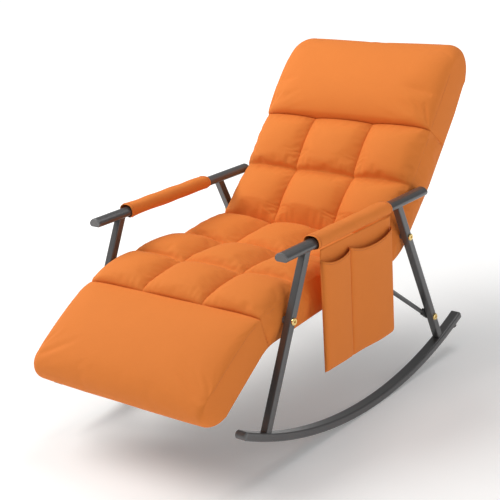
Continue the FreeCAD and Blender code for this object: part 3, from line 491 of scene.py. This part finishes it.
def stitch_nodes(material):
    """Stitches of thread set along a chain of edges."""
    tree = bpy.data.node_groups.new("Stitches", "GeometryNodeTree")
    socket(tree, "NodeSocketGeometry", "Path")
    inputs = {
        "spacing": socket(tree, "NodeSocketFloat", "Spacing", value=0.005),
        "length": socket(tree, "NodeSocketFloat", "Length", value=0.003),
        "radius": socket(tree, "NodeSocketFloat", "Radius", value=0.0004),
    }
    socket(tree, "NodeSocketGeometry", "Stitches", way="OUTPUT")
    new, link = tree.nodes.new, tree.links.new
    given, made = new("NodeGroupInput"), new("NodeGroupOutput")
    curve = new("GeometryNodeMeshToCurve")
    spaced = new("GeometryNodeResampleCurve")
    spaced.mode = "LENGTH"
    stitch = new("GeometryNodeMeshCylinder")
    stitch.inputs["Vertices"].default_value = 6
    tangent = new("GeometryNodeInputTangent")
    turned = new("FunctionNodeAlignRotationToVector")
    turned.axis = "Z"
    placed = new("GeometryNodeInstanceOnPoints")
    real = new("GeometryNodeRealizeInstances")
    painted = new("GeometryNodeSetMaterial")
    painted.inputs["Material"].default_value = material
    link(given.outputs["Path"], curve.inputs["Mesh"])
    link(curve.outputs["Curve"], spaced.inputs["Curve"])
    link(given.outputs["Spacing"], spaced.inputs["Length"])
    link(given.outputs["Length"], stitch.inputs["Depth"])
    link(given.outputs["Radius"], stitch.inputs["Radius"])
    link(tangent.outputs["Tangent"], turned.inputs["Vector"])
    link(spaced.outputs["Curve"], placed.inputs["Points"])
    link(stitch.outputs["Mesh"], placed.inputs["Instance"])
    link(turned.outputs["Rotation"], placed.inputs["Rotation"])
    link(placed.outputs["Instances"], real.inputs["Geometry"])
    link(real.outputs["Geometry"], painted.inputs["Geometry"])
    link(painted.outputs["Geometry"], made.inputs["Stitches"])
    return tree, inputs


def sew(name, paths, body, looks):
    """Rows of stitches along paths, as one mesh that rides on a body."""
    material = material_named("cover_thread")
    tree, inputs = stitch_nodes(material)
    meshes = []
    for number, (points, closed) in enumerate(paths):
        chain = thread_path(f"{name}_path_{number}", points, closed)
        rows = chain.modifiers.new("stitches", "NODES")
        rows.node_group = tree
        rows[inputs["spacing"]] = looks.stitch_spacing
        rows[inputs["length"]] = looks.stitch_length
        rows[inputs["radius"]] = looks.thread_thickness / 2
        bpy.context.view_layer.update()
        graph = bpy.context.evaluated_depsgraph_get()
        meshes.append(bpy.data.meshes.new_from_object(chain.evaluated_get(graph)))
        bpy.data.objects.remove(chain)
    whole = bmesh.new()
    for mesh in meshes:
        whole.from_mesh(mesh)
        bpy.data.meshes.remove(mesh)
    mesh = bpy.data.meshes.new(name)
    whole.to_mesh(mesh)
    whole.free()
    mesh.materials.clear()
    mesh.materials.append(material)
    mesh.shade_smooth()
    piece = bpy.data.objects.new(name, mesh)
    bpy.context.scene.collection.objects.link(piece)
    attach(piece, body)
    return piece


def blank_material(name):
    """A new material with its node tree and its shader."""
    material = bpy.data.materials.new(name)
    material.use_nodes = True
    return material, material.node_tree, material.node_tree.nodes["Principled BSDF"]


def add_node(tree, kind, **values):
    """A new node with some of its inputs set."""
    node = tree.nodes.new(kind)
    for key, value in values.items():
        node.inputs[key.replace("_", " ").title()].default_value = value
    return node


def mixed(tree, factor, low, high):
    """A colour between two, by a factor socket."""
    mix = tree.nodes.new("ShaderNodeMix")
    mix.data_type = "RGBA"
    mix.inputs[6].default_value = (*low, 1)
    mix.inputs[7].default_value = (*high, 1)
    tree.links.new(factor, mix.inputs[0])
    return mix.outputs[2]


def bumped(tree, height, strength, distance, under=None):
    """The normal of a bump, over another one if given."""
    bump = add_node(tree, "ShaderNodeBump", strength=strength, distance=distance)
    tree.links.new(height, bump.inputs["Height"])
    if under is not None:
        tree.links.new(under, bump.inputs["Normal"])
    return bump.outputs["Normal"]


def cloth_finish(name, colour, shade, roughness=0.85, sheen=0.06, weave=1.0):
    """Woven cloth: two sets of yarn, slubs in the yarn and slow changes of colour."""
    material, tree, surface = blank_material(name)
    link = tree.links.new
    where = tree.nodes.new("ShaderNodeTexCoord").outputs["UV"]
    cloudy = add_node(tree, "ShaderNodeTexNoise", scale=14, detail=4, roughness=0.6)
    link(where, cloudy.inputs["Vector"])
    stretched = tree.nodes.new("ShaderNodeMapping")
    stretched.inputs["Scale"].default_value = (900, 60, 60)
    link(where, stretched.inputs["Vector"])
    slub = add_node(tree, "ShaderNodeTexNoise", scale=1.0, detail=3, roughness=0.55)
    link(stretched.outputs["Vector"], slub.inputs["Vector"])
    both = tree.nodes.new("ShaderNodeMath")
    both.operation = "MULTIPLY_ADD"
    both.inputs[1].default_value = 0.55
    link(slub.outputs["Fac"], both.inputs[0])
    eased = tree.nodes.new("ShaderNodeMath")
    eased.operation = "MULTIPLY"
    eased.inputs[1].default_value = 0.45
    link(cloudy.outputs["Fac"], eased.inputs[0])
    link(eased.outputs[0], both.inputs[2])
    link(mixed(tree, both.outputs[0], shade, colour), surface.inputs["Base Color"])
    yarns = []
    for way in ("X", "Y"):
        wave = add_node(tree, "ShaderNodeTexWave", scale=330, distortion=0.6, detail=1)
        wave.bands_direction = way
        link(where, wave.inputs["Vector"])
        yarns.append(wave)
    cloth = tree.nodes.new("ShaderNodeMath")
    cloth.operation = "MAXIMUM"
    link(yarns[0].outputs["Fac"], cloth.inputs[0])
    link(yarns[1].outputs["Fac"], cloth.inputs[1])
    normal = bumped(tree, cloth.outputs[0], 0.22 * weave, 0.0004)
    normal = bumped(tree, slub.outputs["Fac"], 0.12, 0.0006, normal)
    link(normal, surface.inputs["Normal"])
    surface.inputs["Roughness"].default_value = roughness
    surface.inputs["Sheen Weight"].default_value = sheen
    surface.inputs["Sheen Roughness"].default_value = 0.5
    surface.inputs["Sheen Tint"].default_value = (*[min(1, c * 1.2 + 0.03) for c in colour], 1)
    return material


def coated_finish(name, colour, worn, roughness, metallic, grain, coat):
    """Powder coat or moulded plastic: a fine peel, and slightly polished patches."""
    material, tree, surface = blank_material(name)
    link = tree.links.new
    where = tree.nodes.new("ShaderNodeTexCoord").outputs["Object"]
    patches = add_node(tree, "ShaderNodeTexNoise", scale=9, detail=3, roughness=0.55)
    peel = add_node(tree, "ShaderNodeTexNoise", scale=grain, detail=2, roughness=0.5)
    for texture in (patches, peel):
        link(where, texture.inputs["Vector"])
    link(mixed(tree, patches.outputs["Fac"], colour, worn), surface.inputs["Base Color"])
    spread = tree.nodes.new("ShaderNodeMapRange")
    spread.inputs["To Min"].default_value = roughness - 0.06
    spread.inputs["To Max"].default_value = roughness + 0.08
    link(patches.outputs["Fac"], spread.inputs["Value"])
    link(spread.outputs["Result"], surface.inputs["Roughness"])
    link(bumped(tree, peel.outputs["Fac"], 0.12, 0.0003), surface.inputs["Normal"])
    surface.inputs["Metallic"].default_value = metallic
    surface.inputs["Coat Weight"].default_value = coat
    surface.inputs["Coat Roughness"].default_value = 0.22
    return material


def turned_metal(name, colour, shade, roughness):
    """Bare metal with fine turning marks and a few dull patches."""
    material, tree, surface = blank_material(name)
    link = tree.links.new
    where = tree.nodes.new("ShaderNodeTexCoord").outputs["Object"]
    marks = add_node(tree, "ShaderNodeTexNoise", scale=700, detail=2, roughness=0.5)
    dull = add_node(tree, "ShaderNodeTexNoise", scale=120, detail=3, roughness=0.6)
    for texture in (marks, dull):
        link(where, texture.inputs["Vector"])
    link(mixed(tree, dull.outputs["Fac"], shade, colour), surface.inputs["Base Color"])
    link(bumped(tree, marks.outputs["Fac"], 0.15, 0.0002), surface.inputs["Normal"])
    surface.inputs["Metallic"].default_value = 1.0
    surface.inputs["Roughness"].default_value = roughness
    return material


def material_named(name):
    return bpy.data.materials[name]


class CHAIR_OT_finishes(bpy.types.Operator):
    """Make the finishes and put them on the frame, the caps and the fasteners"""
    bl_idname = "rocking_chair.finishes"
    bl_label = "Frame Finishes"

    def execute(self, context):
        looks = context.scene.rocking_chair
        cloth_finish("cover_cloth", looks.cover_colour, looks.cover_shade)
        cloth_finish("cover_thread", looks.thread_colour, looks.thread_colour, 0.6, 0.3)
        cloth_finish("sling_mesh", (0.03, 0.03, 0.032), (0.02, 0.02, 0.022), 0.85, 0.1, 3.0)
        cloth_finish("lining_cloth", (0.07, 0.066, 0.062), (0.05, 0.047, 0.045), 0.9, 0.1)
        lighter = [min(1, c * 1.35) for c in looks.frame_colour]
        finishes = {
            "frame_paint": coated_finish(
                "frame_coat", looks.frame_colour, lighter, 0.3, 0.5, 900, 0.3),
            "end_plastic": coated_finish(
                "plug_plastic", (0.10, 0.10, 0.102), (0.13, 0.13, 0.132), 0.42, 0.0, 1200, 0.1),
            "bumper_rubber": coated_finish(
                "bumper_rubber", (0.018, 0.018, 0.018), (0.03, 0.03, 0.03), 0.75, 0.0, 700, 0.0),
            "bolt_brass": turned_metal(
                "bolt_brass", (0.92, 0.70, 0.30), (0.75, 0.54, 0.2), 0.26),
            "bare_steel": turned_metal(
                "zinc_steel", (0.6, 0.6, 0.6), (0.45, 0.45, 0.46), 0.35),
        }
        slots = {s["node"]: s["material_slot"] for s in frame["record"]["subparts"]}
        for node, piece in frame["nodes"].items():
            finish = finishes.get(slots[node])
            if finish:
                piece.data.materials.clear()
                piece.data.materials.append(finish)
        return {"FINISHED"}


class CHAIR_OT_cushions(bpy.types.Operator):
    """Make the four quilted cushions, filled by a cloth simulation, and their side seams"""
    bl_idname = "rocking_chair.cushions"
    bl_label = "Quilted Cushions"

    def execute(self, context):
        looks = context.scene.rocking_chair
        cloth = material_named("cover_cloth")
        pieces, seams_found = [], []
        for node, cushion in CUSHIONS.items():
            piece, edges = self.make_cushion(node, cushion, looks, cloth)
            pieces.append(piece)
            seams_found.append(edges)
        eases = [looks.ease if quilted else 0.0 for _, _, quilted, _ in CUSHIONS.values()]
        inflate(pieces, eases, looks.filling_pressure, looks.filling_rise)
        threads = []
        for piece, edges, node in zip(pieces, seams_found, CUSHIONS):
            points = points_of(piece.data)
            for edge, side in edges:
                row = points[edge] + np.array([side * 0.0006, 0, -0.0045])
                threads.append((row[3:-3], False))
            smoothed(piece)
            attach(piece, "chair")
            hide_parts(node)
        sew("side_seam_stitches", threads, "chair", looks)
        return {"FINISHED"}

    @staticmethod
    def make_cushion(node, cushion, looks, cloth):
        seams, _, quilted, _ = cushion
        across = spread_across(quilted)
        paths = [cushion_path(x, *cushion, looks) for x in across]
        path = np.stack(paths, 1)
        place, height = path[..., 0], path[..., 1]
        top = on_line(place, height, across[None, :])
        count = len(path)
        share = np.linspace(0, 1, count)[:, None]
        low_place = place[:1] + (place[-1:] - place[:1]) * share
        bottom = on_line(low_place, -UNDERSIDE, across[None, :])
        patches = Patches()
        channel = np.abs(np.abs(across) - TUFT_X) < CHANNEL_HOLD
        held = np.zeros_like(place)
        for seam in seams:
            if seam is not None:
                held[np.abs(place - seam[0]) < SEAM_HOLD] = 1
        if quilted:
            held[:, channel] = np.maximum(held[:, channel], 0.85)
        held[:, [0, 1, -2, -1]] = 1
        held[:3] = held[-3:] = 1
        uv_top = np.stack(np.broadcast_arrays(place + height * 0.5, across[None, :]), -1)
        number = patches.add(top, uv_top, held)
        uv_low = np.stack(np.broadcast_arrays(low_place, across[None, :] + 1.0), -1)
        patches.add(bottom, uv_low, 1.0)
        down = np.linspace(0, 1, SIDE_STEPS)[None, :]
        fading = np.sqrt(np.clip(share * (1 - share) * 14, 0, 1))
        for column in (0, -1):
            high, low = top[:, column][:, None], bottom[:, column][:, None]
            wall = high * (1 - down[..., None]) + low * down[..., None]
            puffed = SIDE_PUFF * np.sin(down * math.pi) * fading
            wall[..., 0] += math.copysign(1, across[column]) * puffed
            along = np.broadcast_to(place[:, column][:, None], wall.shape[:2])
            free = (down > 0.04) & (down < 0.96)
            patches.add(wall, np.stack([along, wall[..., 2]], -1), np.where(free, 0.0, 1.0))
        piece, joined = patches.build(node.replace("_cushion", "_pad"), cloth)
        inside = slice(WALL_STEPS, -WALL_STEPS)
        edges = [(joined[number[inside, 0]], -1.0), (joined[number[inside, -1]], 1.0)]
        return piece, edges


def line_sheet(name, start, end, height, half_width, material, flap=0.0, sag=0.0):
    """A thin sheet that follows the bent line, with flaps down its sides if asked."""
    places = np.linspace(start, end, int((end - start) / 0.01))
    x = np.linspace(-half_width, half_width, 41)
    drop = sag * (1 - (x / half_width) ** 2)
    ripple = 0.0006 * np.sin(places[:, None] * 70 + 2 * np.sin(x[None, :] * 17))
    points = on_line(places[:, None], height - drop[None, :] + ripple, x[None, :])
    if flap:
        edge = [on_line(places, height - flap, s * half_width) for s in (-1, 1)]
        points = np.concatenate([edge[0][:, None], points, edge[1][:, None]], 1)
        x = np.concatenate([[x[0] - flap], x, [x[-1] + flap]])
    patches = Patches()
    patches.add(points, np.stack(np.broadcast_arrays(places[:, None], x[None, :]), -1), 0.0)
    piece, _ = patches.build(name, material)
    thick = piece.modifiers.new("thickness", "SOLIDIFY")
    thick.thickness = SHEET_THICKNESS
    thick.offset = 0
    return piece, (x[-1] - x[0], end - start)


class CHAIR_OT_linings(bpy.types.Operator):
    """Make the support sling inside the cover and the lining cloth under it"""
    bl_idname = "rocking_chair.linings"
    bl_label = "Sling and Lining"

    def execute(self, context):
        sling, flat = line_sheet(
            "sling", SLING_INSET, LINE_LENGTH - SLING_INSET, SLING_HEIGHT, SLING_HALF_WIDTH,
            material_named("sling_mesh"), flap=SLING_FLAP)
        lining, cut = line_sheet(
            "lining", LINING_START, LINE_LENGTH - LINING_INSET, -UNDERSIDE - LINING_GAP,
            LINING_HALF_WIDTH, material_named("lining_cloth"), sag=LINING_SAG)
        for piece, node, slot, size in (
                (sling, "support_sling", "sling_fabric", flat),
                (lining, "cover_underside", "underside_fabric", cut)):
            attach(piece, "chair")
            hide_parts(node)
        return {"FINISHED"}


class CHAIR_OT_sleeves(bpy.types.Operator):
    """Make the padded sleeves on the armrests, loose in front and snug behind"""
    bl_idname = "rocking_chair.sleeves"
    bl_label = "Armrest Sleeves"

    def execute(self, context):
        looks = context.scene.rocking_chair
        for name, side in (("left", 1), ("right", -1)):
            piece, hems = self.make_sleeve(f"sleeve_{name}", side)
            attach(piece, "chair")
            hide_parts(f"armrest_sleeve_{name}")
            sew(f"sleeve_stitches_{name}", hems, "chair", looks)
        return {"FINISHED"}

    @staticmethod
    def ring(y, grow, side):
        """One closed section of the sleeve."""
        turn = np.linspace(0, 2 * math.pi, RING_POINTS)
        share = (y - SLEEVE_START) / SLEEVE_LENGTH
        loose = 0.0016 * math.exp(-share * 7) + 0.0005
        c, s = np.cos(turn), np.sin(turn)
        wide = np.where(c > 0, SLEEVE_OUTER + loose * 0.4, SLEEVE_INNER + loose) + grow
        joins = (c > 0) & (s < 0) & (side > 0)
        x = wide * np.sign(c) * np.abs(c) ** np.where(joins, 0.5, 0.86)
        rise = np.where(s > 0, SLEEVE_RISE + loose * 0.6, SLEEVE_DROP + loose * 1.4) + grow
        flush = np.clip(c * 3, 0, 1) * joins
        rise = rise + (SLEEVE_JOIN_DROP - rise) * flush
        z = rise * np.sign(s) * np.abs(s) ** np.where(s > 0, 0.9, 0.8)
        fold = 0.0007 * np.sin(3 * turn + 9 * share) + 0.0005 * np.sin(7 * turn - 14 * share)
        z = z + np.where(s < 0.2, fold * 1.2, fold * 0.25) * (1 - flush)
        z = z + 0.0006 * math.sin(share * 23 + 1) * (s > 0)
        points = np.stack([ARM_X + x, np.full(RING_POINTS, y), ARM_Z + z], 1)
        points[-1] = points[0]
        points[:, 0] *= side
        return points

    def make_sleeve(self, name, side):
        stations = SLEEVE_START + SLEEVE_LENGTH * np.linspace(0, 1, SLEEVE_RINGS)
        last = SLEEVE_RINGS - 1
        lips = [SLEEVE_LIP * math.exp(-min(i, last - i) * 0.9) for i in range(SLEEVE_RINGS)]
        outer = np.stack([self.ring(y, -lip, side) for y, lip in zip(stations, lips)])
        inner = np.stack([self.ring(y, -SLEEVE_WALL, side) for y in stations])
        turn = np.linspace(0, 0.125, RING_POINTS)[None, :]
        uv = np.stack(np.broadcast_arrays(turn, stations[:, None]), -1)
        patches = Patches()
        patches.add(outer, uv, 0.0)
        patches.add(inner, uv + 0.3, 0.0)
        for row in (0, -1):
            patches.add(np.stack([outer[row], inner[row]]), uv[:2] + 0.6, 0.0)
        piece, _ = patches.build(name, material_named("cover_cloth"))
        hems = []
        for y in (SLEEVE_START + SLEEVE_HEM, SLEEVE_START + SLEEVE_LENGTH - SLEEVE_HEM):
            hems.append((self.ring(y, 0.0001, side)[:-1], True))
        return smoothed(piece), hems


class CHAIR_OT_pocket(bpy.types.Operator):
    """Make the double side pocket that hangs from the left sleeve"""
    bl_idname = "rocking_chair.pocket"
    bl_label = "Side Pocket"

    def execute(self, context):
        looks = context.scene.rocking_chair
        cloth = material_named("cover_cloth")
        rear = POCKET_START + POCKET_LENGTH
        back, flat = self.make_back(cloth)
        self.settle(back, flat, flat[0] * flat[1], "pocket_back_panel")
        threads = []
        for name, start, end, dip, nodes in (
                ("pocket_narrow", POCKET_START, POCKET_SEAM_Y, NARROW_DIP,
                 ("pocket_front_narrow",)),
                ("pocket_wide", POCKET_SEAM_Y, rear, WIDE_DIP,
                 ("pocket_front_wide", "pocket_gussets"))):
            front, area, size, hem = self.make_front(name, start, end, dip, cloth)
            self.settle(front, size, area, *nodes)
            threads.append((hem, False))
        low = np.linspace(POCKET_LOW + 0.004, POCKET_MOUTH - 0.004, 60)
        seam = np.stack([
            np.full(60, POCKET_X + 0.0026), np.full(60, POCKET_SEAM_Y), low], 1)
        threads.append((seam, False))
        sew("pocket_stitches", threads, "pocket", looks)
        return {"FINISHED"}

    @staticmethod
    def settle(piece, size, area, *nodes):
        """Puts a cloth on the pocket body and hides the parts that it replaces."""
        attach(piece, "pocket")
        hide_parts(*nodes)

    @staticmethod
    def wave(y, z):
        """A slow hang of the cloth, still at its top."""
        down = np.clip((POCKET_HIGH - z) / 0.3, 0, 1)
        return 0.0022 * down * np.sin(y * 19 + 0.8) + 0.0012 * down * np.sin(y * 43 + z * 9)

    def make_back(self, cloth):
        y = np.linspace(POCKET_START, POCKET_START + POCKET_LENGTH, 61)[None, :]
        z = np.linspace(POCKET_LOW, POCKET_HIGH, 61)[:, None]
        top = np.clip((z - 0.452) / (POCKET_HIGH - 0.452), 0, 1)
        x = POCKET_X + 0.3 * self.wave(y, z) + 0.0022 * top * top * (3 - 2 * top)
        points = np.stack(np.broadcast_arrays(x, y, z), -1)
        patches = Patches()
        patches.add(points, np.stack(np.broadcast_arrays(z, y), -1), 0.0)
        piece, _ = patches.build("pocket_back", cloth)
        self.thicken(piece, POCKET_BACK_FABRIC)
        return piece, (POCKET_LENGTH, POCKET_HIGH - POCKET_LOW)

    @staticmethod
    def thicken(piece, thickness):
        """Gives a cloth its thickness, half to each side."""
        wall = piece.modifiers.new("thickness", "SOLIDIFY")
        wall.thickness = thickness
        wall.offset = 0

    def make_front(self, name, start, end, dip, cloth):
        s = np.linspace(0, 1, 57)[None, :]
        s = s - 0.055 * np.sin(4 * math.pi * s) / 2
        t = (np.linspace(0, 1, 65) ** 1.25)[:, None]
        y = start + (end - start) * s
        mouth = POCKET_MOUTH - dip * (1 - np.abs(2 * s - 1) ** 2.4)
        z = POCKET_LOW + 0.001 + (mouth - POCKET_LOW - 0.001) * t
        sides = np.clip(1 - np.abs(2 * s - 1) ** 14, 0, 1) ** 0.5
        foot = np.clip(1 - (1 - t) ** 60, 0, 1) ** 0.5
        middle = 1 - np.abs(2 * s - 1) ** 2
        gape = MOUTH_GAPE * t ** 4 * middle
        belly = POCKET_BELLY * np.sin(math.pi * t) * middle
        x = POCKET_X + 0.0012 + POCKET_ROOM * sides * foot + gape + belly
        x = x + self.wave(y, z) * sides
        hem = np.clip((z - mouth + POCKET_HEM) / 0.001, 0, 1) * 0.0009
        points = np.stack(np.broadcast_arrays(x + hem, y, z), -1)
        patches = Patches()
        patches.add(points, np.stack(np.broadcast_arrays(z, y), -1), 0.0)
        piece, _ = patches.build(name, cloth)
        self.thicken(piece, POCKET_FABRIC)
        area = sum(p.area for p in piece.data.polygons)
        wide = float(end - start + 2 * POCKET_ROOM)
        tall = float(area / wide * 1.02)
        row = int(np.argmin(np.abs(t[:, 0] - 0.972)))
        thread = points[row] + np.array([0.0008, 0, 0])
        return piece, area, (wide, tall), thread[3:-3]


class CHAIR_OT_stage(bpy.types.Operator):
    """Set the floor, the lights and the camera"""
    bl_idname = "rocking_chair.stage"
    bl_label = "Stage"

    def execute(self, context):
        scene = context.scene
        scene.view_settings.view_transform = "Standard"
        self.set_floor()
        self.set_world(scene)
        for light in LIGHTS:
            self.set_light(*light)
        self.set_camera(scene)
        return {"FINISHED"}

    @staticmethod
    def set_floor():
        mesh = bpy.data.meshes.new("floor")
        r = FLOOR_REACH
        mesh.from_pydata([(-r, -r, 0), (r, -r, 0), (r, r, 0), (-r, r, 0)], [], [(0, 1, 2, 3)])
        floor = bpy.data.objects.new("floor", mesh)
        bpy.context.scene.collection.objects.link(floor)
        material, tree, surface = blank_material("pale_floor")
        surface.inputs["Base Color"].default_value = (0.93, 0.93, 0.93, 1)
        surface.inputs["Roughness"].default_value = 0.8
        surface.inputs["Emission Color"].default_value = (1, 1, 1, 1)
        where = tree.nodes.new("ShaderNodeTexCoord")
        far = tree.nodes.new("ShaderNodeVectorMath")
        far.operation = "LENGTH"
        glow = tree.nodes.new("ShaderNodeMapRange")
        for name, value in FLOOR_GLOW:
            glow.inputs[name].default_value = value
        tree.links.new(where.outputs["Object"], far.inputs[0])
        tree.links.new(far.outputs["Value"], glow.inputs["Value"])
        tree.links.new(glow.outputs["Result"], surface.inputs["Emission Strength"])
        mesh.materials.append(material)

    @staticmethod
    def set_world(scene):
        world = bpy.data.worlds.new("studio")
        world.use_nodes = True
        tree = world.node_tree
        background = tree.nodes["Background"]
        background.inputs["Color"].default_value = (1, 1, 1, 1)
        seen = tree.nodes.new("ShaderNodeLightPath")
        strength = tree.nodes.new("ShaderNodeMapRange")
        strength.inputs["To Min"].default_value = WORLD_LIGHT
        strength.inputs["To Max"].default_value = 1.0
        tree.links.new(seen.outputs["Is Camera Ray"], strength.inputs["Value"])
        tree.links.new(strength.outputs["Result"], background.inputs["Strength"])
        scene.world = world

    @staticmethod
    def set_light(name, place, size, power, colour):
        light = bpy.data.lights.new(name, "AREA")
        light.shape = "DISK"
        light.size = size
        light.energy = power
        light.color = colour
        lamp = bpy.data.objects.new(name, light)
        lamp.location = place
        aim = Vector(LIGHT_AIM) - Vector(place)
        lamp.rotation_euler = aim.to_track_quat("-Z", "Y").to_euler()
        bpy.context.scene.collection.objects.link(lamp)

    @staticmethod
    def set_camera(scene):
        azimuth, elevation = math.radians(CAMERA_AZIMUTH), math.radians(CAMERA_ELEVATION)
        roll = math.radians(CAMERA_ROLL)
        back = Vector((
            math.sin(azimuth) * math.cos(elevation), -math.cos(azimuth) * math.cos(elevation),
            math.sin(elevation)))
        level = Vector((math.cos(azimuth), math.sin(azimuth), 0))
        right = level * math.cos(roll) - back.cross(level) * math.sin(roll)
        up = back.cross(right)
        lens = bpy.data.cameras.new("camera")
        lens.angle = math.radians(CAMERA_ANGLE)
        camera = bpy.data.objects.new("camera", lens)
        turned = Matrix((right, up, back)).transposed().to_4x4()
        camera.matrix_world = Matrix.Translation(CAMERA_PLACE) @ turned
        scene.collection.objects.link(camera)
        scene.camera = camera


OPERATORS = (
    CHAIR_OT_finishes, CHAIR_OT_cushions, CHAIR_OT_linings, CHAIR_OT_sleeves,
    CHAIR_OT_pocket, CHAIR_OT_stage)


class CHAIR_PT_panel(bpy.types.Panel):
    bl_label = "Rocking Chair"
    bl_space_type = "VIEW_3D"
    bl_region_type = "UI"
    bl_category = "Rocking Chair"

    def draw(self, context):
        looks = context.scene.rocking_chair
        for name in ChairLooks.__annotations__:
            self.layout.prop(looks, name)
        for operator in OPERATORS:
            self.layout.operator(operator.bl_idname)


def register():
    for cls in (ChairLooks, *OPERATORS, CHAIR_PT_panel):
        bpy.utils.register_class(cls)
    bpy.types.Scene.rocking_chair = bpy.props.PointerProperty(type=ChairLooks)


def unregister():
    del bpy.types.Scene.rocking_chair
    for cls in reversed((ChairLooks, *OPERATORS, CHAIR_PT_panel)):
        bpy.utils.unregister_class(cls)


def main():
    register()
    bpy.ops.rocking_chair.finishes()
    bpy.ops.rocking_chair.cushions()
    bpy.ops.rocking_chair.linings()
    bpy.ops.rocking_chair.sleeves()
    bpy.ops.rocking_chair.pocket()
    bpy.ops.rocking_chair.stage()


if __name__ == "__main__":
    main()
